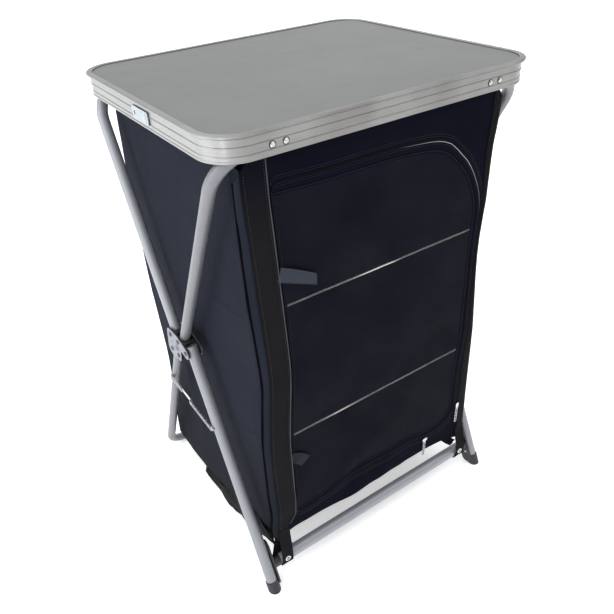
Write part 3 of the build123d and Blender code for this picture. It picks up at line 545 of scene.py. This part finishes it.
# Zip tape
tape_finish = mottled("zip_tape", (0.0018, 0.0020, 0.0045), (0.0045, 0.0048, 0.0085), (60.0,), 0.7,
                      Specular_IOR_Level=0.03)
tape_finish.bumps((tape_finish.maths("ADD", tape_finish.wave(260.0, "Z"), tape_finish.wave(260.0, "X")),
                   0.5, 0.0004))

# Zip coil, painted bright at its upper right as a highlight
coil_finish = Finish("zip_coil", (0.16, 0.155, 0.16), 0.32, Specular_IOR_Level=0.12)
upper = coil_finish.ramp(coil_finish.coordinate(coil_finish.vector, "Z"), (0.68, 0.0), (0.80, 1.0))
rightward = coil_finish.ramp(coil_finish.coordinate(coil_finish.vector, "X"), (0.02, 0.0), (0.11, 1.0))
coil_highlight = coil_finish.maths("MULTIPLY", upper, rightward)
coil_finish.use("Base Color", coil_finish.mix(coil_highlight, (0.0045, 0.0045, 0.0075), (0.34, 0.33, 0.34)))
coil_finish.use("Roughness", coil_finish.ramp(coil_finish.noise(200.0), (0.3, 0.35), (0.8, 0.6)))

# Laminate of the table top
laminate = Finish("laminate", (0.30, 0.302, 0.295), 0.42, Specular_IOR_Level=0.4)
speckle = laminate.noise(1500.0, 2.0, 0.7)
clouds = laminate.ramp(laminate.noise(3.0, 4.0, 0.55), (0.3, (0.131, 0.136, 0.132)),
                       (0.7, (0.145, 0.150, 0.146)))
grains = laminate.ramp(speckle, (0.35, (0.069, 0.069, 0.069)), (0.65, (0.224, 0.224, 0.220)))
laminate.use("Base Color", laminate.mix(0.14, clouds, grains))
laminate.use("Roughness", laminate.ramp(laminate.noise(12.0, 4.0), (0.3, 0.40), (0.7, 0.50)))
laminate.bumps((speckle, 0.12, 0.0002))

# Brushed rim, with a painted reflection along its front that makes it darker and browner there
rim = Finish("aluminium_rim", (0.48, 0.48, 0.47), 0.26, 0.9)
lines = rim.noise(1.0, 4.0, 0.65, rim.place((6, 6, 1400)))
broad = rim.noise(1.0, 3.0, 0.55, rim.place((9, 9, 60)))
brushed = rim.mix(0.5, rim.ramp(lines, (0.25, (0.28, 0.279, 0.274)), (0.7, (0.39, 0.393, 0.392))),
                  rim.ramp(broad, (0.3, (0.296, 0.295, 0.290)), (0.7, (0.382, 0.385, 0.384))))
# Painted reflection: darker, browner streaks on the rim's front face
forward = rim.maths("MULTIPLY", rim.coordinate(rim.vector, "Y"), -3.6)
drift = rim.noise(1.0, 2.0, 0.5, rim.place((8, 8, 2)))
reflected_tones = rim.mix(rim.ramp(drift, (0.38, 0.0), (0.6, 1.0)), (0.33, 0.307, 0.280), (0.62, 0.605, 0.582))
front_reflection = rim.mix(rim.ramp(forward, (0.80, 0.0), (0.94, 1.0)), (1.0, 1.0, 1.0), reflected_tones)
rim.use("Base Color", rim.mix(1.0, brushed, front_reflection, "MULTIPLY"))
rim.use("Roughness", rim.ramp(lines, (0.2, 0.22), (0.8, 0.36)))
rim.bumps((lines, 0.10, 0.0003))

# Zinc with its spangle
zinc = metal("zinc_plate", (0.115, 0.125, 0.165), (0.26, 0.27, 0.31), 0.24, 0.46)
spangle = zinc.node("ShaderNodeTexVoronoi", [("Vector", zinc.vector), ("Scale", 160.0)]).outputs["Distance"]
flecks = zinc.ramp(spangle, (0.1, (0.13, 0.145, 0.195)), (0.6, (0.27, 0.27, 0.30)))
zinc.use("Base Color", zinc.mix(0.3, zinc.tones, flecks))

# Other metals
pale_zinc = metal("pale_zinc", (0.30, 0.345, 0.37), (0.60, 0.64, 0.67), 0.24, 0.46)
bright_steel = metal("bright_steel", (0.46, 0.46, 0.47), (0.74, 0.74, 0.74), 0.2, 0.36)
dark_rivet = metal("dark_rivet", (0.03, 0.03, 0.036), (0.14, 0.14, 0.155), 0.3, 0.5)
nickel = metal("nickel", (0.16, 0.155, 0.15), (0.62, 0.61, 0.59), 0.14, 0.3)
rivet = mottled("bright_rivet", (0.34, 0.335, 0.33), (0.66, 0.655, 0.64), (500.0, 3.0),
                ((320.0, 3.0), (0.3, 0.12), (0.75, 0.3)), 1.0)
rivet.bumps((rivet.noise(400.0, 3.0), 0.15, 0.0003))
chrome = mottled("chrome", (0.42, 0.42, 0.44), (0.82, 0.82, 0.82), (420.0, 3.0, 0.7),
                 ((260.0, 3.0), (0.3, 0.06), (0.8, 0.2)), 1.0)

# Painted tubes, with darker copies of their paint as painted shade, shelf rods and black plastic
silver_paint = paint("silver_tube", 1.0)
leg_shade_paint = paint("leg_tube", 0.86)
shaded_paint = paint("shaded_tube", 0.6)
rod_finish = mottled("rod", (0.46, 0.43, 0.39), (0.74, 0.71, 0.66), (35.0, 3.0), 0.5)
plastic = mottled("black_plastic", (0.008, 0.008, 0.010), (0.02, 0.02, 0.023), (40.0, 4.0),
                  ((130.0, 4.0), (0.3, 0.33), (0.7, 0.55)), Specular_IOR_Level=0.5)
plastic.bumps((plastic.noise(900.0, 2.0), 0.18, 0.0003))

# The CAD's own meshes get their slot's finish, or one of their own
slots = {
    "laminate": laminate, "aluminium_rim": rim, "zinc_plate": zinc, "bright_rivet": rivet,
    "black_plastic": plastic, "silver_tube": silver_paint, "dark_cloth": cloth, "webbing": webbing,
    "mesh": mesh_net, "zip_tape": tape_finish, "rod": rod_finish, "chrome": chrome,
}
# The front legs and the upper front and lower rear frames take the darker paints: painted shade
special = {"rim_splice_plate": pale_zinc, "upper_front_frame": shaded_paint, "lower_rear_frame": shaded_paint,
           "zip_pull_side": nickel, "zip_pull_bottom": nickel}
for side in ("left", "right"):
    special[f"front_leg_{side}"] = leg_shade_paint
    special[f"hub_rivets_{side}"] = dark_rivet
    special[f"hub_inner_plate_{side}"] = pale_zinc
    for name in ("stay_front_link", "stay_rear_link", "stay_bracket"):
        special[f"{name}_{side}"] = bright_steel
for subpart in frame["record"]["subparts"]:
    finish = special.get(subpart["node"], slots[subpart["material_slot"]])
    mesh = nodes[subpart["node"]].data
    mesh.materials.clear()
    mesh.materials.append(finish.material)


def folds_flat(obj):
    """Gives a piece a mesh of its own."""
    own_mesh(obj)


# Front cloth round the doorway
corners = [np.array(corner) for corner in (
    (LEFT_EDGE, CLOTH_BOTTOM), (RIGHT_EDGE, CLOTH_BOTTOM), (RIGHT_EDGE, CLOTH_TOP), (LEFT_EDGE, CLOTH_TOP))]
outline = []
for number, corner in enumerate(corners):
    outline += [corner] * (BEND_STEPS + 1)
    for share in np.linspace(0, 1, RUN_STEPS[number] + 2)[1:-1]:
        outline.append(corner + share * (corners[(number + 1) % 4] - corner))
outline = np.array(outline)
door = door_path(1.0)
shares = (0, 0.12, 0.25, 0.4, 0.55, 0.7, 0.85, 0.95, 1)
flat = np.stack([door + (outline - door) * share for share in shares], axis=1)
x, z = flat[..., 0], flat[..., 1]
bevelled = CLOTH_TOP - np.clip(np.abs(x) - CORNER_START, 0, 12)
z = np.where(z > 870, np.minimum(z, bevelled), z)
puff = 1.1 * waves(x, z, 21, 40, 170) * smoothstep(0.2, 0.6, np.broadcast_to(shares, x.shape))
puff = np.abs(puff * (1 - smoothstep(190, 215, x)))
points, faces = solid(front(x, z, FRONT - 1.5 - puff), front(x, z, FRONT - puff), closed=True)
front_cloth = piece("front_cloth", points, faces, shaded_front_finish, "top", "dark_cloth")
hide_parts("front_panel")
folds_flat(front_cloth)

# The side wall's seam allowance, which stands off the left corner as a narrow fold with a bound edge
z, share = grids(np.linspace(113, 892, 160), np.linspace(0, 1, 9))
x = LEFT_EDGE - (12.5 + 1.3 * waves(z, 0 * z, 15, 60, 300)) * share
z = np.minimum(z, 892 - np.clip(-CORNER_START - x, 0, 24))
depth = FRONT - 1.2 + 5.5 * share**1.4 - 0.9 * np.sin(np.pi * share) + 0.5 * waves(x, z, 16, 40, 160)
fold = piece("corner_fold", *thick(front(x, z, depth), 1.1), cloth, "top", "dark_cloth")
folds_flat(fold)
x, z, depth = x[:, -1], z[:, -1], depth[:, -1]
# The bound edge is near black: painted shadow of the crease between the fold and the wall
bound = tube_mesh(front(x - 1.2, z, depth + 0.6), 2.1 + 0.4 * waves(z, 0 * z, 18, 40, 160))
folds_flat(piece("corner_seam_shadow", *bound, seam_shadow_cloth, "top", "dark_cloth"))

# Creases of the left wall: height, ends as (y, z), and width
LEFT_CREASES = (
    (1.8, (-40, 600), (-180, 618), 6), (1.6, (-60, 322), (-175, 348), 7), (1.6, (-150, 352), (-205, 364), 5),
    (1.5, (-188, 688), (-214, 698), 5), (1.6, (-205, 860), (-120, 560), 16),
    (-1.6, (-180, 470), (-215, 160), 10), (1.6, (150, 500), (60, 130), 18), (1.4, (205, 700), (170, 300), 14))


def wall_reach(sign, y, z):
    """How far out a side wall hangs."""
    share = (y - WALL_FRONT) / (REAR - WALL_FRONT)
    pull = left_pull(z) if sign < 0 else -right_pull(z)
    forward = 248.0 - 0.8 * pull
    reach = forward + (rear_edge(z) - forward) * smoothstep(-0.25, 1, share)
    depth = 0.9 + 2.2 * (878 - z) / 800
    seed = 31 if sign < 0 else 47
    belly = depth * np.sin(np.pi * np.clip(share, 0, 1)) * 1.2 + 1.2 * waves(y, z, seed, 150, 420)
    x = reach + belly + 0.35 * waves(y, z, seed + 1, 30, 90)
    if sign < 0:
        for height, start, end, width in LEFT_CREASES:
            x = x + height * crease(y, z, start, end, width)
    x = np.clip(x, 240, 267)
    x = np.where(z > 800, np.minimum(x, 262 - (z - 800) * 0.12), x)
    fade = smoothstep(WALL_FRONT, -205, y)
    groove = 3.0 * np.exp(-(((y + 204) / 5) ** 2))
    return forward * (1 - fade) + x * fade - groove


# Side walls, whose lower edge dips behind the front corner
for side, sign in (("left", -1), ("right", 1)):
    y, share = grids(np.linspace(WALL_FRONT, WALL_REAR, 121), np.linspace(0, 1, 131))
    low = floor_line(y) - 1 - 22 * np.exp(-(((y + 200) / 38) ** 2))
    z = low + (WALL_TOP - low) * share
    surface = np.stack([sign * wall_reach(sign, y, z), y, z], axis=-1)
    wall = piece(f"{side}_side_cloth", *thick(surface[:, ::sign], 1.2), cloth, "top", "dark_cloth")
    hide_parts(f"{side}_panel")
    folds_flat(wall)


def rear_depth(x, z):
    """How far back the rear wall hangs."""
    bulge = (1.0 + 4.5 * (CLOTH_TOP - z) / 844) * (0.5 + 0.5 * np.cos(np.pi * 3 * x / 251)) * 0.5
    return 224.8 + bulge + 1.2 * np.abs(waves(x, z, 61, 90, 320)) + 0.3 * np.abs(waves(x, z, 63, 30, 80))


# Rear wall, lower at its corners, where the frame bends past it
share, up = grids(np.linspace(0, 1, 121), np.linspace(0, 1, 131))
low = 49.0
high = 892.0 - 24 * smoothstep(0.455, 0.485, np.abs(share - 0.5))
z = low + (high - low) * up
x = (1 - 2 * share) * np.where(share < 0.5, wall_reach(1, WALL_REAR, z), wall_reach(-1, WALL_REAR, z)) * 1.004
surface = np.stack([x, rear_depth(x, z), z], axis=-1)
rear = piece("rear_cloth", *thick(surface, 1.2), cloth, "top", "dark_cloth")
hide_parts("rear_panel")
folds_flat(rear)

# Floor
share, across = grids(np.linspace(0, 1, 91), np.linspace(-1, 1, 81))
y = -226.8 + share * 448.8
x = across * np.where(across < 0, wall_reach(-1, y, floor_line(y)), wall_reach(1, y, floor_line(y)))
y = y + share**8 * (rear_depth(x, floor_line(y)) - 222.4)
sag = 3.0 * (1 - across**2) * np.sin(np.pi * share)
z = floor_line(y) + 0.8 - sag + 1.5 * waves(x, y, 71, 60, 220) * (1 - across**4)
z = z + hem_line(x) * (1 - smoothstep(0, 0.12, share))
floor = piece("floor_cloth", *thick(np.stack([x, y, z], axis=-1), 1.5), inner_cloth, "top", "dark_cloth")
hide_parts("floor_panel")
folds_flat(floor)

# Shelves: cloth sewn round a stiff board, sagging a little between the rods
run = np.linspace(-223.5, 217.5, 46)
flat_y = np.concatenate([run, np.full(3, 218.6), run[::-1], np.full(3, -224.4)])
lift = np.concatenate([np.zeros(46), (-0.8, -2.0, -3.2), np.full(46, -4.0), (-3.2, -2.0, -0.8)])
steps = np.linspace(-1, 1, 61)
for place_name, level in SHELVES:
    y = flat_y[:, None] * np.ones((1, 61))
    reach = [wall_reach(sign, flat_y, np.full_like(flat_y, level - 2)) - 1.0 for sign in (-1, 1)]
    x = np.where(steps[None, :] < 0, reach[0][:, None], reach[1][:, None]) * steps[None, :]
    sag = 3.4 * np.sin(np.pi * (flat_y + 224) / 443)[:, None] * (1 - steps[None, :] ** 2) ** 0.7
    uneven = 0.5 * waves(x, y, 83, 60, 200) * (np.abs(flat_y) < 214)[:, None]
    z = level + lift[:, None] - np.maximum(sag, 0) + uneven
    z = z + FRONT_LIFT * (1 - smoothstep(-224, -110, flat_y))[:, None]
    points = np.stack([x, y, z], axis=-1).reshape(-1, 3)
    faces = grid_faces(len(flat_y), 61, flip=True, closed=True)
    faces.append(tuple(range(0, len(points), 61)))
    faces.append(tuple(range(60, len(points), 61))[::-1])
    shelf = piece(f"{place_name}_shelf_cloth", points, faces, inner_cloth, "top", "dark_cloth")
    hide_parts(f"shelf_{place_name}")
    folds_flat(shelf)

# Rods in the shelves' front and rear edges
parts = []
for (place_name, level), front_end in zip(SHELVES, ROD_ENDS):
    for y, first, last, lift in ((-226.0, -240.0, front_end, FRONT_LIFT), (220.4, -245.0, 245.0, 0.0)):
        height = level - ROD_DROP + lift
        path = np.stack([np.linspace(first, last, 40), np.full(40, y), np.full(40, height)], axis=1)
        parts.append(tube_mesh(path, ROD_RADIUS, 12))
rods = piece("shelf_edge_rods", *joined(parts), rod_finish, "top", "rod")
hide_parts("shelf_rods")
folds_flat(rods)

# Webbing down the front edges: its edges, how far each draws in at the foot, and its finish
WEBBING = (("left", -248.5, -207.0, 0, 20, webbing), ("right", 228.0, 248.0, 6, 0, black_strap))
for side, first, last, first_draw, last_draw, finish in WEBBING:
    z, share = grids(np.linspace(114, 893, 170), np.linspace(0, 1, 17))
    narrow = 1 - smoothstep(125, 172, z)
    start, end = first + first_draw * narrow, last - last_draw * narrow
    x = start + (end - start) * share
    z = np.minimum(z, 893 - np.clip(np.abs(x) - 235, 0, 12))
    relief = 0.7 * np.minimum(1, 10 * np.minimum(share, 1 - share)) + 0.25 * np.cos(share * math.tau * 3)
    depth = FRONT - 2.4 - relief - 0.35 * np.abs(waves(x, z, 91, 30, 120))
    points, faces = solid(front(x, z, depth), front(x, z, FRONT - 1.55))
    strap = piece(f"{side}_webbing", points, faces, finish, "top", "webbing")
    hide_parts(f"webbing_{side}")
    folds_flat(strap)
    if side == "left":
        # A lighter bound edge down the left webbing: painted highlight
        x, z = x[6:, -1] - 0.6, z[6:, -1]
        radius = 1.15 + 0.25 * waves(z, 0 * z, 93, 25, 120)
        binding = tube_mesh(front(x, z, FRONT - 3.3), radius)
        folds_flat(piece("webbing_edge_highlight", *binding, edge_highlight, "top", "webbing"))

# Strap tails that wrap the crossbar's ends
drop = ((-230.4, 132), (-230.6, 124), (-231.6, 114), (-234.6, 100), (-238.0, 85), (-240.2, 70), (-240.5, 58))
turns = np.radians(np.linspace(185, 305, 18))
middle_y, middle_z = CROSSBAR_MIDDLE
wrap = np.stack([middle_y + 14.6 * np.cos(turns), middle_z + 14.6 * np.sin(turns)], axis=1)
y, z = resample(np.concatenate([drop, wrap]), count=60).T
across = np.linspace(-STRAP_WIDTH / 2, STRAP_WIDTH / 2, 13)
for side, sign, finish in (("left", -1, webbing), ("right", 1, black_strap)):
    x = sign * 240.5 + across[None, :] + sign * 2.5 * smoothstep(130, 60, z)[:, None]
    dished = 0.5 * np.sin(across / STRAP_WIDTH * np.pi)[None, :] ** 2
    surface = np.stack([x, y[:, None] - dished, z[:, None] * np.ones_like(x)], axis=-1)
    tail = piece(f"{side}_strap_tail", *thick(surface[:, ::-1], 1.5), finish, "top", "webbing")
    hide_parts("strap_tails")

# Zip: tape and coil round the doorway, open on the hinge side
ZIP_RUN = slice(0, 3 * (BEND_STEPS + 1) + sum(RUN_STEPS[:3]) + 8)
grows = (1.0, 3.0, 6.0, 7.0)
bands = [door_line(grow, depth, ZIP_RUN) for grow, depth in zip(grows, (-229.9, -230.1, -230.1, -229.7))]
backs = [door_line(grow, -229.5, ZIP_RUN) for grow in grows]
points, faces = solid(np.stack(bands, axis=1), np.stack(backs, axis=1))
tape = piece("zip_tape", points, faces, tape_finish, "top", "zip_tape")
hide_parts("zipper_tape")
folds_flat(tape)
line = resample(door_line(0.9, -229.7, ZIP_RUN), 1.1)
beads = 0.5 + 0.25 * (np.arange(len(line)) % 2)
folds_flat(piece("zip_coil", *tube_mesh(line, beads, 6), coil_finish, "top", "zip_tape"))

# Door border: the front's depth at each distance outward, with a piped inner edge, over a flat back
BORDER = (
    (0.0, -228.9), (-0.8, -229.5), (-3.0, -229.9), (-7.0, -229.9), (-9.0, -229.3), (-10.0, -228.5),
    (-11.0, -229.2), (-13.0, -229.5), (-16.0, -229.3), (-17.2, -228.8))
outer = np.stack([door_line(grow, depth) for grow, depth in BORDER], axis=1)
inner = np.stack([door_line(grow, FRONT) for grow, depth in BORDER], axis=1)
border = piece("door_border", *solid(outer, inner, closed=True), shaded_front_finish, "door", "mesh")
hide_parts("mesh_door")

# Door net: flat strands both ways, from edge to edge of the border
edge = door_ring(-14.0)
strands = []
for axis, depth in ((0, -228.5), (1, -228.9)):
    for value in np.arange(edge[:, axis].min() + 1.5, edge[:, axis].max() - 1, NET_PITCH):
        start, end = crossings(edge, value, axis)
        along = np.linspace(start, end, max(int((end - start) / 16), 2) + 1)
        sides = []
        for offset in (-NET_STRAND / 2, NET_STRAND / 2):
            beside = np.full_like(along, value + offset)
            x, z = (beside, along) if axis == 0 else (along, beside)
            sides.append(front(x, z, depth))
        strip = np.stack(sides, axis=1)
        strands.append((strip.reshape(-1, 3), grid_faces(len(along), 2, flip=axis == 1)))
net = piece("door_net", *joined(strands), mesh_net, "door", "mesh", smooth=False)
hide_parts("mesh_door")

# Stitching on the door, round the doorway and down the webbing
seams = [stitches(door_line(grow, depth), closed=True) for grow, depth in ((-2.6, -230.0), (-13.6, -229.5))]
piece("door_stitches", *joined(seams), thread, "door", "mesh")
rows = [stitches(door_line(grow, -229.75, ZIP_RUN)) for grow in (9.0, 12.5)]
for x, low, high, depth in (
        (-243.5, 125, 876, -232.0), (-211.5, 175, 890, -232.0), (243.5, 125, 876, -231.4)):
    rows.append(stitches(front(np.full(200, x), np.linspace(low, high, 200), depth)))
folds_flat(piece("front_stitches", *joined(rows), thread, "top", "webbing"))

# Tie loops: two layers from the hinge to the end, by (x, z), and how far each sags and tapers
LOOPS = (((-207, 707), (-141, 675), 2, 1, tie_cloth), ((-207, 315), (-178, 291), 6, 0, tie_shade))
for number, (first, last, dip, taper, finish) in enumerate(LOOPS):
    steps = np.linspace(0, 1, 26)
    bow = np.sin(np.pi * steps)
    x = first[0] + (last[0] - first[0]) * steps
    z = first[1] + (last[1] - first[1]) * steps + dip * bow
    slope = directions(np.stack([x, z], axis=1))
    across = np.linspace(-STRAP_WIDTH / 2, STRAP_WIDTH / 2, 9)
    flat_x = x[:, None] - slope[:, 1:2] * across * (1 - taper * steps[:, None])
    flat_z = z[:, None] + slope[:, :1] * across
    lift = 1.2 + 3.2 * bow[:, None] ** 1.5 + 0.3 * np.cos(across / STRAP_WIDTH * math.tau)[None, :]
    layers = [thick(front(flat_x, flat_z, -230.3 - np.maximum(lift + extra, least)), 0.8)
              for extra, least in ((0.0, 1.1), (-2.2 * bow[:, None] - 0.9, 0.2))]
    loop = piece(f"tie_loop_{number + 1}", *joined(layers), finish, "door", "dark_cloth")
    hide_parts("tie_loops")

# Dark rings under the heads of the front rivets, which stand in pairs 21 mm apart
low, high = (np.array(corner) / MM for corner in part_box("front_rim_rivets"))
turn = circle(32)
parts = []
for x in (high[0] - 4.2, high[0] - 25.2):
    for side in (-1, 1):
        ring = [side * x + 4.75 * np.cos(turn), 0 * turn + low[1] + 1.9,
                (low[2] + high[2]) / 2 + 4.75 * np.sin(turn)]
        parts.append(tube_mesh(np.stack(ring, axis=1), 0.6, closed=True))
piece("rivet_shade", *joined(parts), plastic, "top", "black_plastic")

# Open centres of the eyelets: rings by radius and depth from the studs' front
low, high = (np.array(corner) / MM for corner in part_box("strap_studs"))
parts = []
for side in (-1, 1):
    rings = []
    for radius, depth in ((0.1, 0.05), (2.4, -0.1), (3.1, -0.15), (3.4, 0.2)):
        ring = [side * (high[0] - 7) + radius * np.cos(turn), 0 * turn + low[1] + depth,
                (low[2] + high[2]) / 2 + radius * np.sin(turn)]
        rings.append(np.stack(ring, axis=1))
    parts.append((np.stack(rings, axis=1).reshape(-1, 3), grid_faces(32, 4, closed=True)))
piece("eyelet_centres", *joined(parts), plastic, "lower_front", "black_plastic")

# Hems round the two upper bars
for name, body, y in (("front_hem", "upper_front", -226.3), ("rear_hem", "upper_rear", 228.7)):
    turn, x = grids(circle(28), np.linspace(-182, 182, 120))
    outside = np.clip(11.1 + 0.28 * waves(x, 60 * turn, 101, 40, 120), 10.7, 11.9)
    layers = [np.stack([x, y + radius * np.cos(turn), BAR_HEIGHT + radius * np.sin(turn)], axis=-1)
              for radius in (outside, 10.2)]
    hem = piece(f"{name}_cloth", *solid(*layers, closed=True), cloth, body, "dark_cloth")
    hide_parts(name)

# Storage strap gathered under the left side, in two layers
parts = []
for number, (out, phase) in enumerate(((0.0, 0.0), (2.6, 1.4))):
    steps, across = grids(np.linspace(0, 1, 100), np.linspace(-1, 1, 13))
    y = 86 - 300 * steps
    middle = strap_middle(y) - 3 * number
    middle = middle + 2.0 * np.sin(13 * steps + phase) + 1.2 * np.sin(31 * steps + phase)
    half = strap_half(y) * (0.92 - 0.14 * number + 0.1 * np.sin(17 * steps + phase))
    x = 254.5 + 3.0 * smoothstep(-215, -130, y) + out + 1.8 * np.sin(20 * steps + phase)
    x = -x - 1.6 * np.cos(across * 2.2) - 0.8 * np.sin(across * 5 + 30 * steps + phase)
    parts.append(thick(np.stack([x, y + 2.0 * across, middle + half * across], axis=-1), 1.4))
bundle = piece("storage_strap", *joined(parts), black_strap, "top", "webbing")
folds_flat(bundle)

# Short straps under both front corners, by (x, z) of their ends
for side, start, end, width in (("right", (200, 112), (238, 68), 18), ("left", (-240, 112), (-258, 52), 24)):
    steps = np.linspace(0, 1, 30)
    run = np.subtract(end, start)
    away = np.array((-run[1], run[0])) / np.hypot(*run)
    middle = np.array(start) + run * steps[:, None] + np.array((0, -3.0)) * np.sin(np.pi * steps)[:, None]
    across = np.linspace(-width / 2, width / 2, 9)
    flat = middle[:, None] + away * across[None, :, None]
    depth = -216.0 - 5.0 * steps[:, None] + 0.8 * np.sin(across * 0.6 + 6 * steps[:, None])
    surface = np.stack([flat[..., 0], depth, flat[..., 1]], axis=-1)
    strap = piece(f"{side}_corner_strap", *thick(surface, 1.5), black_strap, "top", "webbing")


def stand(data, spot, side, up, back):
    """A camera or a lamp at a spot, with its own three axes."""
    obj = bpy.data.objects.new(data.name, data)
    obj.matrix_world = Matrix.Translation(spot) @ Matrix((side, up, back)).transposed().to_4x4()
    bpy.context.scene.collection.objects.link(obj)
    return obj


# Camera at the photograph's place
camera = bpy.data.cameras.new("camera")
camera.sensor_width = 36.0
camera.lens = 37.3358
camera.shift_x = 0.018586
camera.shift_y = 0.007193
bpy.context.scene.camera = stand(
    camera, (-0.6183032, -0.9257257, 1.1974676), (0.827175, -0.559666, -0.050558),
    (0.353138, 0.447721, 0.821486), (-0.437122, -0.697367, 0.567982))

# Pale floor
ground_finish = Finish("ground", (0.94, 0.94, 0.94), 0.9, Specular_IOR_Level=0.1, Emission_Strength=0.38,
                       Emission_Color=(1, 1, 1))
bpy.ops.mesh.primitive_plane_add(size=60, location=(0, 0, 0))
ground = bpy.context.object
ground.name = "ground"
ground.data.materials.append(ground_finish.material)

# Soft studio light: a bright horizon under a greyer sky, and three lamps
world = bpy.data.worlds.new("studio")
sky = Nodes(world)
background = sky.tree.nodes["Background"]
height = sky.coordinate(sky.node("ShaderNodeTexCoord").outputs["Generated"], "Z")
sky.fill(background, "Color", sky.ramp(
    height, (0.0, (1.0, 1.0, 1.0)), (0.08, (0.93, 0.94, 0.95)), (0.35, (0.43, 0.44, 0.46))))
sky.fill(background, "Strength", 1.0)
bpy.context.scene.world = world
bpy.context.scene.view_settings.view_transform = "Standard"


def lamp(name, spot, aim, size, power):
    data = bpy.data.lights.new(name, "AREA")
    data.shape = "RECTANGLE"
    data.size, data.size_y = size
    data.energy = power
    direction = np.subtract(aim, spot)
    direction = direction / np.linalg.norm(direction)
    side = np.cross(direction, (0, 0, 1))
    side /= np.linalg.norm(side)
    stand(data, spot, side, np.cross(side, direction), -direction)


lamp("overhead", (0.6, 1.8, 5.0), (0.6, 1.801, 0), (14.0, 14.0), 720)
lamp("left_window", (-3.2, 0.4, 1.6), (0, 0, 0.5), (2.4, 2.4), 48)
lamp("corner_strip", (-2.6, -1.9, 1.0), (-0.25, -0.2, 0.9), (0.12, 1.8), 12)
